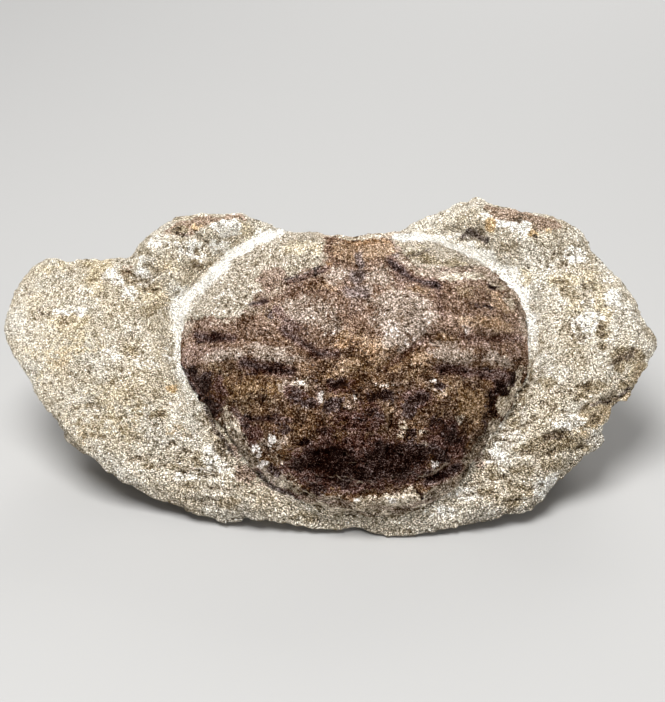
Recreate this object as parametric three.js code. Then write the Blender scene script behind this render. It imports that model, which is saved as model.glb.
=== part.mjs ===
// A fossil crab: the domed carapace of a round crab, laid bare on the sloping face of a
// lump of pale stone. The stone stands on a small flat spot under its rounded back.
//
// Two pieces: `matrix`, the stone with the shallow seat that the shell lies in, and
// `carapace`, the crab's shell. Millimetres, +Z up, origin at the middle of the flat spot.
//
// Both pieces are stacks of rings about the crab's middle. They are described in the frame
// of the face: x to the right, u up the face, n out of the face.

import * as THREE from 'three';
import { ImprovedNoise } from 'three/addons/math/ImprovedNoise.js';

const { degToRad, lerp, smoothstep } = THREE.MathUtils;

// ---- Driving dimensions -------------------------------------------------------------

const FACE_NORMAL_ELEVATION = degToRad(50); // how far the face looks upward
const FACE_ORIGIN = new THREE.Vector3(2.5, -6.5, 21.7); // the crab's middle, above the flat spot

const COLUMNS = 120; // points round each full ring
const SHELL_RINGS = 20; // rings across the carapace's top, 6 more points on each
const APRON_ROWS = 3; // rows of stone from the seat to the dome's foot
const FACE_ROWS = 10; // rows from the dome's foot to the rim
const BACK_ROWS = 10; // rows from the rim to the flat spot
const SEAT_RINGS = [0.7, 0.35]; // rings under the shell, as shares of its outline

const DOME_HEIGHT = 12.5; // crown of the carapace above the face
const SHELL_THICKNESS = 2.6;
const SEAT_GAP = 0.3; // between shell and stone, all round
const APRON_RISE = 0.5; // stone left on the shell's front corners stands proud of it
const DOME_FOOT = 0.8; // where the stone levels out, outside the dome's outline
const TROUGH_DEPTH = 1.8; // smooth channel cut in the stone round the shell
const TROUGH_OFFSET = 2; // its middle, out from the shell's foot
const TROUGH_WIDTH = 2.2;

const RIM_ROLL = { width: 4.5, drop: 1.8, bottomDrop: 1.7, notchDrop: 2.6 };
const BACK_DEPTH = 26; // stone behind the face at its thickest
const BACK_OVAL = { x: -4.5, u: 1.5, halfWidth: 57, halfHeight: 29 }; // what the back rounds off to
const FOOT = { halfWidth: 22, halfDepth: 14, rise: 3.2 }; // the flat spot, and the curve round it

// Outlines in the face's frame, [x, u], anticlockwise from the right.

const ROCK_OUTLINE = [
  [53.5, 6.3], [51.4, 9.7], [47.5, 16.5], [43.2, 22.8], [37.5, 27.8], [28.2, 29.9],
  [21.6, 32.7], [16, 30.8], [11, 29.4], [7.2, 27.6], [0, 26.1], [-7.5, 26.8], [-15, 27.8],
  [-18.2, 28.7], [-24.6, 30.6], [-33.5, 28.7], [-36.9, 25.9], [-40.5, 22], [-46.3, 22.1],
  [-50.8, 21.3], [-55.5, 22.1], [-59.6, 18.8], [-62.3, 11.8], [-62.6, 7.6], [-59.4, 1.5],
  [-55.3, -4.6], [-48.3, -12.9], [-41.3, -18.4], [-32, -22.4], [-24.6, -24.6],
  [-15, -25.1], [-7.6, -26.9], [0.8, -26.8], [5.5, -28], [14.8, -26.9], [23.7, -24.8],
  [32.2, -22.4], [34.4, -18.9], [38.7, -15.3], [42.9, -10.8], [44.3, -6.3], [47.3, -4.5],
  [51.4, 2.1],
];

// The shell's sides and back, from its left corner under the crab round to its right one.
const SHELL_BACK = [
  [-31, 5.5], [-29.1, -0.4], [-24.5, -6.7], [-19.7, -13.8], [-14.1, -18.9], [-7.7, -22.5],
  [0.4, -24.1], [5.6, -24.1], [13.2, -22], [17.7, -18], [21, -12.7], [25.3, -6.7],
  [28.6, -0.7], [30.1, 6.7],
];

// Where the crab's front would run if no stone were left on it.
const DOME_FRONT = [
  [28.5, 14.1], [22.8, 20.1], [13.6, 25], [0.1, 28.4], [-12.7, 26.5], [-22.7, 22.2],
  [-29.5, 13.9],
];

// Where the shell's front meets the stone: two bays, over the orbits, and the brow between.
const SHELL_FRONT = [
  [29.8, 10.4], [26.4, 16.5], [19.9, 18.5], [14.4, 16.4], [11.8, 16.1], [9.3, 17],
  [7.3, 18.8], [6, 21.2], [6.2, 23.5], [0, 23.5], [-5.1, 23], [-5.5, 18.4], [-6.8, 16.1],
  [-11.6, 13.9], [-15.1, 12.3], [-19, 8.3], [-22, 7.6], [-26, 8.5], [-29, 9],
];

// Relief of the carapace. It is the same on both sides, so only the right side is listed.

const SHELL_LOBES = [
  { x: 3.2, u: 20.4, rx: 2.2, ru: 3.2, h: 0.7 }, // brow
  { x: 7.4, u: 7.6, rx: 5, ru: 5, h: 1 }, // protogastric
  { x: 21, u: 11.8, rx: 5, ru: 4, h: 0.9 }, // hepatic
  { x: 0, u: 2, rx: 4.2, ru: 5, h: 0.8 }, // mesogastric
  { x: 15.7, u: -6.4, rx: 5.5, ru: 3.6, h: 1 }, // mesobranchial
  { x: 13.4, u: -13.9, rx: 4.5, ru: 3.6, h: 0.8 }, // metabranchial
  { x: 0, u: -10.1, rx: 4.8, ru: 4, h: 1 }, // cardiac
  { x: 0, u: -16.9, rx: 4, ru: 2.2, h: 0.5 }, // intestinal
];

const SHELL_LINES = [
  { path: [[0, 23], [0, 15.4]], width: 1.1, h: -0.9 }, // groove between the brows
  { path: [[0, 14], [1.6, 9], [3.4, 4]], width: 1, h: -0.6 }, // beside the middle tongue
  { path: [[7.5, 16.4], [9.6, 14.6], [12, 14.2], [14.4, 14.8]], width: 1.1, h: 0.8 }, // orbit rim
  { path: [[12.6, 4.5], [17.5, 3.9], [27.6, 6]], width: 1.7, h: -0.8 }, // furrow above the ridge
  { path: [[11.5, 1], [20, 1.4], [28, 3]], width: 1.9, h: 0.6 }, // epibranchial ridge
  { path: [[11.7, -1.8], [21, -1.6]], width: 1.7, h: -0.6 }, // furrow below the ridge
  { path: [[12.6, 4.5], [8, 1.1], [3.4, -2.7], [0, -4]], width: 1.7, h: -0.8 }, // cervical groove
  { path: [[6.9, -6.2], [6.4, -12], [4.8, -17]], width: 1.9, h: -0.8 }, // beside the heart
];

const POSTERIOR_RIM = { at: 0.95, width: 0.035, h: 0.7, groove: 0.87, grooveWidth: 0.04, dip: -0.5 };

// Lumps and hollows of the stone round the crab.

const STONE_LOBES = [
  { x: -45, u: 8, rx: 17, ru: 14, h: 2.6 }, // left wing
  { x: 45, u: 6, rx: 14, ru: 15, h: 2.6 }, // right wing
  { x: 34, u: 14, rx: 6, ru: 5, h: 1.2 },
  { x: 38, u: -8, rx: 5, ru: 4, h: 1 },
  { x: -36, u: -7, rx: 8, ru: 5, h: 0.9 },
  { x: -38, u: -23, rx: 20, ru: 10, h: -3 }, // the face curves under, lower left
  { x: 39, u: -21, rx: 14, ru: 10, h: -2.5 }, // and lower right
  { x: 25, u: 28.5, rx: 11, ru: 6.5, h: 4.8 }, // upper right knob
];

const STONE_LINES = [
  { path: [[-36, 22], [-27, 26.5], [-17, 27.5]], width: 5, h: 4.6 }, // upper left knob
  { path: [[-42, 21], [-37, 16], [-32, 11]], width: 3, h: -1.8 }, // crease beside it
];

// ---- Small helpers ------------------------------------------------------------------

const noise = new ImprovedNoise();

/** Noise of a given size of lump, about -1 to 1. */
function lumps(x, y, z, size) {
  return noise.noise(x / size + 31.7, y / size + 17.3, z / size + 5.1);
}

function lobeHeight(x, u, lobe) {
  return lobe.h * Math.exp(-(((x - lobe.x) / lobe.rx) ** 2) - ((u - lobe.u) / lobe.ru) ** 2);
}

function distanceToPath(x, u, path) {
  let nearest = Infinity;
  for (let i = 1; i < path.length; i += 1) {
    const [ax, au] = path[i - 1];
    const [bx, bu] = path[i];
    const length2 = (bx - ax) ** 2 + (bu - au) ** 2;
    const along = THREE.MathUtils.clamp(((x - ax) * (bx - ax) + (u - au) * (bu - au)) / length2, 0, 1);
    nearest = Math.min(nearest, Math.hypot(x - lerp(ax, bx, along), u - lerp(au, bu, along)));
  }
  return nearest;
}

function lineHeight(x, u, line) {
  return line.h * Math.exp(-((distanceToPath(x, u, line.path) / line.width) ** 2));
}

function relief(x, u, lobes, lines) {
  const fromLobes = lobes.reduce((sum, lobe) => sum + lobeHeight(x, u, lobe), 0);
  return lines.reduce((sum, line) => sum + lineHeight(x, u, line), fromLobes);
}

/** A bell curve of unit height about `middle`. */
function bell(value, middle, width) {
  return Math.exp(-(((value - middle) / width) ** 2));
}

const FULL_TURN = 2 * Math.PI;

/** A closed smooth outline that every ray from the face's origin crosses once. */
class Outline {
  constructor(points) {
    const corners = points.map(([x, u]) => new THREE.Vector3(x, u, 0));
    const curve = new THREE.CatmullRomCurve3(corners, true, 'centripetal');
    const samples = 12 * points.length;
    this.angles = [];
    this.radii = [];
    for (let i = 0; i <= samples; i += 1) {
      const point = curve.getPoint(i / samples);
      const angle = Math.atan2(point.y, point.x);
      const last = this.angles.at(-1) ?? angle;
      const turns = Math.round((last - angle) / FULL_TURN);
      this.angles.push(Math.max(last, angle + turns * FULL_TURN));
      this.radii.push(point.length());
    }
  }

  radius(angle) {
    const start = this.angles[0];
    const turned = start + (((angle - start) % FULL_TURN) + FULL_TURN) % FULL_TURN;
    let low = 0;
    let high = this.angles.length - 1;
    while (high - low > 1) {
      const middle = (low + high) >> 1;
      if (this.angles[middle] <= turned) low = middle;
      else high = middle;
    }
    const span = this.angles[high] - this.angles[low];
    return lerp(this.radii[low], this.radii[high], span > 0 ? (turned - this.angles[low]) / span : 0);
  }

  point(angle) {
    return new THREE.Vector2(Math.cos(angle), Math.sin(angle)).multiplyScalar(this.radius(angle));
  }

  /** How far out a point lies, 1 on the outline. */
  share(x, u) {
    return Math.hypot(x, u) / this.radius(Math.atan2(u, x));
  }
}

const rock = new Outline(ROCK_OUTLINE);
const dome = new Outline([...DOME_FRONT, ...SHELL_BACK]);
const shell = new Outline([...SHELL_FRONT, ...SHELL_BACK]);

// ---- Surfaces -----------------------------------------------------------------------

/** The plain dome of the crab, without its relief. */
function domeHeight(x, u) {
  const share = Math.min(1, dome.share(x, u));
  return DOME_HEIGHT * (1 - share ** 2.2) ** 0.75;
}

function shellTop({ x, y: u }) {
  const share = dome.share(x, u);
  const posterior = smoothstep(-u, 12, 19);
  const rim = POSTERIOR_RIM;
  const margin = rim.h * bell(share, rim.at, rim.width) + rim.dip * bell(share, rim.groove, rim.grooveWidth);
  const grain = 0.22 * lumps(x, u, 0, 2.6);
  return domeHeight(x, u) + relief(Math.abs(x), u, SHELL_LOBES, SHELL_LINES) + posterior * margin + grain;
}

function shellUnderside({ x, y: u }) {
  return domeHeight(x, u) - SHELL_THICKNESS;
}

function stoneTop({ x, y: u }) {
  const angle = Math.atan2(u, x);
  const share = dome.share(x, u);
  const onShell = 1 - smoothstep(share, 0.93, 1);
  const outside = (share - 1) * dome.radius(angle);
  const trough = TROUGH_DEPTH * bell(outside, TROUGH_OFFSET, TROUGH_WIDTH) * (1 - onShell);
  const bottom = smoothstep(-u, 14, 26);
  const notch = bell(x, -1, 9) * smoothstep(u, 18, 24);
  const drop = RIM_ROLL.drop + RIM_ROLL.bottomDrop * bottom + RIM_ROLL.notchDrop * notch;
  const fromRim = Math.min(1, (1 - rock.share(x, u)) * rock.radius(angle) / RIM_ROLL.width);
  const roll = drop * (1 - fromRim) ** 2;
  const rough = 0.9 * lumps(x, u, 3, 9) + 0.45 * lumps(x, u, 9, 4.2);
  const clear = smoothstep(outside, 0.5, 4);
  return domeHeight(x, u) + APRON_RISE * onShell - trough - roll
    + clear * relief(x, u, STONE_LOBES, STONE_LINES) + lerp(0.35, 1, clear) * rough;
}

/** From the face's frame to the part's own frame. */
function toWorld(x, u, n) {
  const sin = Math.sin(FACE_NORMAL_ELEVATION);
  const cos = Math.cos(FACE_NORMAL_ELEVATION);
  return new THREE.Vector3(x, u * sin - n * cos, u * cos + n * sin).add(FACE_ORIGIN);
}

/** Lowest height of the stone over the surface it stands on: nothing over the flat spot. */
function bellyFloor(x, y) {
  const share = Math.hypot(x / FOOT.halfWidth, y / FOOT.halfDepth);
  return FOOT.rise * Math.max(0, share - 1) ** 2;
}

/** Where the back would be deepest, in the face's frame: past the flat spot, on the same line. */
const DEEPEST = (() => {
  const sin = Math.sin(FACE_NORMAL_ELEVATION);
  const cos = Math.cos(FACE_NORMAL_ELEVATION);
  const foot = new THREE.Vector2(-FACE_ORIGIN.x, -FACE_ORIGIN.y * sin - FACE_ORIGIN.z * cos);
  const footDepth = FACE_ORIGIN.z * sin - FACE_ORIGIN.y * cos;
  return foot.multiplyScalar(BACK_DEPTH / footDepth);
})();

/** Stops a point of the back at the surface it stands on, on its line from the crab's middle. */
function stopAtFloor(point) {
  const way = point.clone().sub(FACE_ORIGIN);
  const tries = 4;
  for (let i = 0; i < tries; i += 1) {
    const floor = bellyFloor(point.x, point.y);
    if (point.z > floor) continue;
    point.copy(FACE_ORIGIN).addScaledVector(way, (FACE_ORIGIN.z - floor) / -way.z);
    point.z = floor;
  }
  return point;
}

/** A point of the stone's back, on the way from a point of the rim to the flat spot. */
function backPoint(rim, share) {
  const angle = Math.atan2(rim.y - BACK_OVAL.u, rim.x - BACK_OVAL.x);
  const oval = new THREE.Vector2(
    BACK_OVAL.x + BACK_OVAL.halfWidth * Math.cos(angle),
    BACK_OVAL.u + BACK_OVAL.halfHeight * Math.sin(angle),
  );
  const place = DEEPEST.clone().lerp(oval.lerp(rim, share ** 4), share);
  const n = stoneTop(rim) * share ** 4 - BACK_DEPTH * (1 - share ** 3) ** 0.55;
  const point = toWorld(place.x, place.y, n);
  const rough = 1.5 * lumps(place.x, place.y, n, 17) + 0.8 * lumps(place.x, place.y, n, 7);
  const outward = toWorld(place.x * 0.02, place.y * 0.02, -1).sub(FACE_ORIGIN).normalize();
  point.addScaledVector(outward, rough * smoothstep(1 - share, 0, 0.12));
  return stopAtFloor(point);
}

// ---- Rings --------------------------------------------------------------------------

/** Angles that share both outlines' lengths out evenly among the columns. */
const columnAngle = (() => {
  const steps = 720;
  const angles = Array.from({ length: steps + 1 }, (_, i) => (i / steps) * FULL_TURN);
  const walk = (outline) => {
    const points = angles.map((angle) => outline.point(angle));
    const lengths = points.slice(1).map((point, i) => point.distanceTo(points[i]));
    const total = lengths.reduce((a, b) => a + b);
    return lengths.map((length) => length / total);
  };
  const alongRock = walk(rock);
  const alongShell = walk(shell);
  const shares = [0];
  alongRock.forEach((length, i) => shares.push(shares[i] + (length + alongShell[i]) / 2));
  return (phase) => {
    const at = shares.findIndex((share) => share >= phase - 1e-9);
    if (at <= 0) return 0;
    const part = (phase - shares[at - 1]) / (shares[at] - shares[at - 1]);
    return lerp(angles[at - 1], angles[at], part);
  };
})();

/** A flat ring of points on a share of an outline. */
function flatRing(outline, count, share = 1) {
  return Array.from({ length: count }, (_, i) => outline.point(columnAngle(i / count)).multiplyScalar(share));
}

/** The same ring moved out by a gap, square to its edges. */
function grownRing(ring, gap) {
  return ring.map((point, i) => {
    const before = ring.at(i - 1);
    const after = ring[(i + 1) % ring.length];
    const normals = [[before, point], [point, after]].map(([a, b]) => {
      const edge = b.clone().sub(a).normalize();
      return new THREE.Vector2(edge.y, -edge.x);
    });
    const bisector = normals[0].clone().add(normals[1]).normalize();
    return point.clone().addScaledVector(bisector, gap / Math.max(0.5, bisector.dot(normals[0])));
  });
}

/** Raises a flat ring onto a surface. */
function onSurface(ring, heightAt) {
  return ring.map((point) => toWorld(point.x, point.y, heightAt(point)));
}

/** Triangles between two rings that may have different numbers of points. */
function stitch(faces, inner, outer) {
  let i = 0;
  let j = 0;
  const single = inner.length === 1;
  while (j < outer.length || (!single && i < inner.length)) {
    const a = inner[i % inner.length];
    const b = outer[j % outer.length];
    const outerFirst = single || (outer.length > 1 && (j + 1) / outer.length <= (i + 1) / inner.length);
    if (outerFirst) {
      faces.push(a, b, outer[(j + 1) % outer.length]);
      j += 1;
    } else {
      faces.push(a, b, inner[(i + 1) % inner.length]);
      i += 1;
    }
    if (outer.length === 1 && i === inner.length) break;
  }
}

/** A closed solid through a stack of rings, which starts and ends on a single point. */
function ringSolid(rings) {
  const positions = [];
  const numbered = rings.map((points) => points.map((point) => {
    positions.push(point.x, point.y, point.z);
    return positions.length / 3 - 1;
  }));
  const faces = [];
  for (let i = 1; i < numbered.length; i += 1) stitch(faces, numbered[i - 1], numbered[i]);
  const geometry = new THREE.BufferGeometry();
  geometry.setAttribute('position', new THREE.Float32BufferAttribute(positions, 3));
  geometry.setIndex(faces);
  geometry.computeVertexNormals();
  return geometry;
}

// ---- Pieces -------------------------------------------------------------------------

const CENTRE = new THREE.Vector2(0, 0);

function carapaceRings() {
  const rings = [onSurface([CENTRE], shellTop)];
  for (let k = 1; k <= SHELL_RINGS; k += 1) {
    const count = (COLUMNS / SHELL_RINGS) * k;
    rings.push(onSurface(flatRing(shell, count, k / SHELL_RINGS), shellTop));
  }
  for (const share of [1, ...SEAT_RINGS]) {
    rings.push(onSurface(flatRing(shell, COLUMNS, share), shellUnderside));
  }
  rings.push(onSurface([CENTRE], shellUnderside));
  return rings;
}

/** The line round the crab where the stone levels out, kept inside the rock's own edge. */
function domeFootRing() {
  return Array.from({ length: COLUMNS }, (_, i) => {
    const angle = columnAngle(i / COLUMNS);
    const inside = lerp(shell.radius(angle), rock.radius(angle), 0.75);
    const radius = Math.min(dome.radius(angle) + DOME_FOOT, inside);
    return new THREE.Vector2(Math.cos(angle), Math.sin(angle)).multiplyScalar(radius);
  });
}

/** Rows are closer together near the dome's foot and near the rim. */
function rowShare(row) {
  const even = row / FACE_ROWS;
  return even - (0.6 * Math.sin(FULL_TURN * even)) / FULL_TURN;
}

function matrixRings() {
  const seatEdge = grownRing(flatRing(shell, COLUMNS), SEAT_GAP);
  const foot = domeFootRing();
  const rim = flatRing(rock, COLUMNS);
  // The floor slopes down to its edge, so there it lies twice the gap under the shell.
  const floorRing = (share) => onSurface(
    seatEdge.map((point) => point.clone().multiplyScalar(share)),
    (point) => shellUnderside(point) - SEAT_GAP * (1 + share),
  );
  const rings = [onSurface([CENTRE], (point) => shellUnderside(point) - SEAT_GAP)];
  for (const share of [...[...SEAT_RINGS].reverse(), 1]) rings.push(floorRing(share));
  const between = (from, to, share) => onSurface(from.map((point, i) => point.clone().lerp(to[i], share)), stoneTop);
  for (let row = 0; row < APRON_ROWS; row += 1) rings.push(between(seatEdge, foot, row / APRON_ROWS));
  for (let row = 0; row <= FACE_ROWS; row += 1) rings.push(between(foot, rim, rowShare(row)));
  for (let row = 1; row < BACK_ROWS; row += 1) {
    const share = Math.cos((Math.PI / 2) * (row / BACK_ROWS));
    rings.push(rim.map((point) => backPoint(point, share)));
  }
  rings.push([new THREE.Vector3(0, 0, 0)]);
  return rings;
}

function piece(name, rings, material) {
  const mesh = new THREE.Mesh(ringSolid(rings), material);
  mesh.name = name;
  return mesh;
}

const stone = new THREE.MeshStandardMaterial({ color: 0xb5a68c, roughness: 0.95, metalness: 0 });
const fossilShell = new THREE.MeshStandardMaterial({ color: 0x4a3226, roughness: 0.6, metalness: 0 });

const fossilCrab = new THREE.Group();
fossilCrab.add(piece('matrix', matrixRings(), stone));
fossilCrab.add(piece('carapace', carapaceRings(), fossilShell));

export default fossilCrab;
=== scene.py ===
"""Looks of a fossil crab: the matrix stone and the carapace, worked up from their CAD solids.

Each solid is copied, meshed finely, smoothed and given relief and grain. The markings are masks,
worked out from each point's place on the crab's face, and the materials turn them into colour,
some of it painted shade in hollows, cracks and creases, and painted light and highlights.
Lengths are in millimetres until a mesh is written back, in metres.
"""

import math
from itertools import product

import bmesh
import bpy
import numpy as np
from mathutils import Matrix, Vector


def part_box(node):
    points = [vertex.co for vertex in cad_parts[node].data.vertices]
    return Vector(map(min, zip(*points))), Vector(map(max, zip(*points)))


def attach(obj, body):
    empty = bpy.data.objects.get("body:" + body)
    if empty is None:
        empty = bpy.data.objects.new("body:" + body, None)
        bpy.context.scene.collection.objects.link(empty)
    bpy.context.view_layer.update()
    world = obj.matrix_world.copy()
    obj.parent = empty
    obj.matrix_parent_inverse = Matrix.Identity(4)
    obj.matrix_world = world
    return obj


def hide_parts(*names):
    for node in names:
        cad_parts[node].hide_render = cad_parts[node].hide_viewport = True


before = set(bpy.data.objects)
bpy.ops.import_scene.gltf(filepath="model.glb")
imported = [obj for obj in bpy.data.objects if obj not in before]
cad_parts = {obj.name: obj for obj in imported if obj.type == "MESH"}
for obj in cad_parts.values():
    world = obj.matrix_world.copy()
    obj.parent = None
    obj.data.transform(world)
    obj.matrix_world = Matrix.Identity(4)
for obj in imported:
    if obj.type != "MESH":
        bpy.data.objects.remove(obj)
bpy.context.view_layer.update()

MM = 0.001

# ---- The face of the fossil: x to the right, u up the face, n out of it ----

FACE_ELEVATION = math.radians(50)  # how far the face looks upward
FACE_ORIGIN = np.array([2.5, -6.5, 21.7])
FACE_RIGHT = np.array([1, 0, 0])
FACE_UP = np.array([0, math.sin(FACE_ELEVATION), math.cos(FACE_ELEVATION)])
FACE_OUT = np.array([0, -math.cos(FACE_ELEVATION), math.sin(FACE_ELEVATION)])

# Outlines on the face, anticlockwise from the right, as the solids have them.
SHELL_BACK = [
    (-31, 5.5), (-29.1, -0.4), (-24.5, -6.7), (-19.7, -13.8), (-14.1, -18.9), (-7.7, -22.5),
    (0.4, -24.1), (5.6, -24.1), (13.2, -22), (17.7, -18), (21, -12.7), (25.3, -6.7), (28.6, -0.7),
    (30.1, 6.7),
]
DOME_FRONT = [
    (28.5, 14.1), (22.8, 20.1), (13.6, 25), (0.1, 28.4), (-12.7, 26.5), (-22.7, 22.2), (-29.5, 13.9),
]
SHELL_FRONT = [
    (29.8, 10.4), (26.4, 16.5), (19.9, 18.5), (14.4, 16.4), (11.8, 16.1), (9.3, 17), (7.3, 18.8),
    (6, 21.2), (6.2, 23.5), (0, 23.5), (-5.1, 23), (-5.5, 18.4), (-6.8, 16.1), (-11.6, 13.9),
    (-15.1, 12.3), (-19, 8.3), (-22, 7.6), (-26, 8.5), (-29, 9),
]

# ---- Camera and light ----

CAMERA = {"lens": 85, "place": (-1.8, -242.5, 192.1), "elevation": 35, "nearest": 10}
LIGHTS = {
    "key light": {"place": (-70, -130, 430), "size": 200, "power": 2.5},
    "fill light": {"place": (260, -330, 200), "size": 300, "power": 0.25},
    "back light": {"place": (120, 420, 240), "size": 300, "power": 1.1},
}
LIGHTS_AIM = (0, 0, 20)
SKY_STRENGTH = 0.24
FLOOR_SIZE = 3000
FLOOR_COLOUR = (0.49, 0.485, 0.475, 1)

# ---- Relief: lobes are (x, u, half width, half height, rise), lines (points, width, rise) ----

STONE_VOXEL = 0.30  # size of each piece's faces
SHELL_VOXEL = 0.21
STONE_FACES = 196000  # most triangles of each piece, once its plain parts are thinned out
SHELL_FACES = 190000
WELD_DISTANCE = 0.001
BOX_SLACK = 0.02  # how far each piece stays short of its solid's box, right, behind and above

STONE_HOLLOWS = [  # the first two are the pit in the right knob
    (21, 25.2, 2.6, 1.1, -1.5), (22.6, 24.3, 1.2, 0.9, -0.8), (-28.8, 22.2, 1.6, 1.2, -0.4),
    (-34.5, 25.4, 1, 0.8, -0.4), (40.7, -2.3, 3, 1.1, -0.6), (45.8, 3.4, 2.2, 1.6, -0.7),
    (49, 4.4, 1.8, 1, -0.4), (-49.7, 21.6, 2.2, 2.2, -1.8), (-29, 30.4, 5, 1.6, -1.6),
    (26, 32, 2.4, 1.4, -1.4), (1.6, 26.4, 6, 1.6, -1.4), (8, 23.6, 2.2, 0.8, -0.5),
]
STONE_SWELLS = [
    (-52, 14, 5.5, 4.5, 0.7), (-50, 3, 6, 4, 0.6), (-41, -2, 5, 3.5, 0.5), (44, 12, 4.5, 4, 0.7),
    (37, 4, 4, 4.5, 0.4), (-25, 25.5, 3.2, 2, 0.6), (-31, 24.6, 2.4, 1.8, 0.5), (27, 24.5, 4, 2.2, 0.6),
    (33.5, 24.6, 3, 2, 0.5), (15.5, 28.6, 3, 1.6, 0.5), (-9, 22.5, 4, 2.5, 0.3), (10.5, 21.8, 3.2, 2, 0.4),
    (31, -6, 4, 3, 0.5), (-32, -12, 4.5, 2.5, 0.5), (-20, -23, 5, 1.6, 0.4), (12, -25.6, 6, 1.2, 0.4),
    (-31.4, 17.6, 3.4, 2.2, 0.9), (-26.6, 21, 3.4, 2, 0.9), (-36.4, 13.6, 3, 2.4, 0.6),
]
STONE_CRACKS = [
    ([(-37.6, 15.6), (-34, 16)], 0.8, -0.25),
    ([(-30.2, 19.4), (-28.6, 20)], 0.5, -0.4),
    ([(-31.7, -12.4), (-29.1, -13.6), (-27.3, -15.3)], 0.5, -0.6),
    ([(-36.4, -16.4), (-33.4, -16.4), (-30.8, -15.5)], 0.6, -0.4),
    ([(-29.9, -19.5), (-24.7, -19.2)], 0.45, -0.4),
    ([(-43.8, -11.2), (-41.2, -9.2)], 0.6, -0.4),
    ([(-42.6, -7.6), (-36.8, -5.7)], 0.6, -0.3),
    ([(-57, -2.1), (-51.9, -1.2), (-46.8, 0.3)], 0.8, -0.3),
    ([(31.1, -12.1), (33.4, -10.9), (34.6, -10.6), (36.6, -11.5)], 0.8, -1.5),
    ([(31.6, -14.6), (34.6, -13.4), (36.1, -12.6), (39.2, -12.7)], 0.6, -1),
    ([(26.2, -14.2), (28.6, -13.4), (30.6, -13.8)], 0.6, -1),
    ([(23.2, -18.6), (25.3, -17.7)], 0.5, -0.7),
    ([(21.2, -20.5), (23.4, -20.2)], 0.45, -0.6),
    ([(25.2, -22), (27.4, -22.4)], 0.5, -0.6),
    ([(38.6, -6.6), (41, -5.6), (43.1, -5), (45.8, -4.2)], 0.8, -1.5),
    ([(37.2, -2.8), (40.2, -2.5), (42.4, -1.6)], 0.7, -1),
    ([(37.8, -4.6), (39.8, -4.2)], 0.7, -0.6),
    ([(43.4, 0.4), (45.4, 1.6), (46.4, 2.7), (48.2, 3.9)], 1, -1.2),
    ([(43, 8.6), (43.4, 6.8), (43, 4.2)], 0.8, -0.5),
    ([(38.9, 15), (38.6, 9), (39, 2)], 1.3, -0.2),
    ([(36.2, 15), (36, 3)], 1.5, 0.3),
    ([(41.2, 13), (41, 3)], 1.3, 0.3),
    ([(27.4, 27.3), (29.6, 27.6)], 0.4, -0.6),
    ([(22.6, 29.6), (25, 29.2)], 0.4, -0.4),
    ([(-33, 24.4), (-29.6, 24.6), (-27, 24)], 0.6, -0.6),
    ([(7, 24.1), (10.2, 23.5)], 0.5, -0.4),
]
CREASE_SHADOW = [  # painted shadow: the dark line in the crease along the edge of the shell's back
    (-30.7, 1.6), (-29, -1.5), (-26.7, -5.4), (-24.9, -9.4), (-21.8, -13.4), (-18.6, -16.3),
    (-14.3, -20), (-8.2, -22.2), (-1, -23.5), (6.5, -23.9), (11.7, -22.7), (15.2, -21.4),
]
STONE_LINES = [  # painted shadow along the shell's front edge under the stone's ledges, painted shade in pits and cracks, and two curled fibres, dark of their own
    ([(-5.2, 17), (-7.8, 16.1), (-9.9, 15.1), (-12.5, 14.6)], 0.45, -1),
    ([(-18.5, 10.2), (-16, 10.8)], 0.4, -1),
    ([(8.4, 19.2), (10.7, 20.1), (12.8, 21.5)], 0.4, -0.6),
    ([(-58.6, 13.9), (-58, 14.8), (-56.9, 15.1)], 0.2, -0.6),
    ([(-56.7, 11.7), (-55.7, 10.8), (-55, 10.6), (-54.3, 10.9)], 0.2, -0.7),
    ([(18.9, 25.2), (19.8, 25.9), (21.6, 25.6), (22.6, 24.8), (23.2, 24)], 0.42, -1),
    ([(40.6, -5.8), (43.2, -5), (45.6, -4.2), (47.6, -2.6)], 0.35, -0.8),
    ([(-33, 25.2), (-31.2, 24.6), (-29.8, 24.2)], 0.35, -0.6),
    ([(44.6, 1.4), (46.6, 2.8), (48.4, 4)], 0.8, -0.5),
]
TROUGH_LEFT = [  # the white bottom of the channel round the shell
    (-27, -7), (-29.6, -2.6), (-31, 0.6), (-31.3, 4), (-31.6, 8.6), (-31.4, 12), (-30.7, 14.2),
    (-27.9, 15.8), (-25, 18.3), (-21.7, 21.6), (-17.8, 24.8), (-14.2, 26),
]
TROUGH_RIGHT = [
    (8, 23.9), (14.5, 25), (19.5, 23.1), (24, 20.8), (27, 18.4), (29.3, 14.8), (30.6, 9.5), (31, 3),
    (29.6, -1.5), (26.8, -6), (24.2, -9.8),
]
# The left wing's edge, lightened as painted light against the shade of its turned-down surface.
RIM_PAINTED_LIGHT = [(-57.5, 14), (-57.5, 6), (-54, -2), (-48, -10.5), (-43, -15.5), (-36, -19.5)]

RIGHT_ORBIT = [(5.8, 18.4), (7.4, 16.8), (9.2, 15), (11.6, 14.1), (13.9, 13.9)]
LEFT_ORBIT = [(-5.2, 16.8), (-7.8, 15.6), (-9.9, 14.6), (-12.5, 14)]
LEFT_FLAKE = [(-18.2, 10), (-15.8, 10.8)]
HEART_SIDE = [(6.9, -5.6), (6.6, -10), (5.4, -15.6)]


def both(path, width, rise):
    """The same line on the crab's right side and on its left."""
    return (path, width, rise), ([(-x, u) for x, u in path], width, rise)


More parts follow.
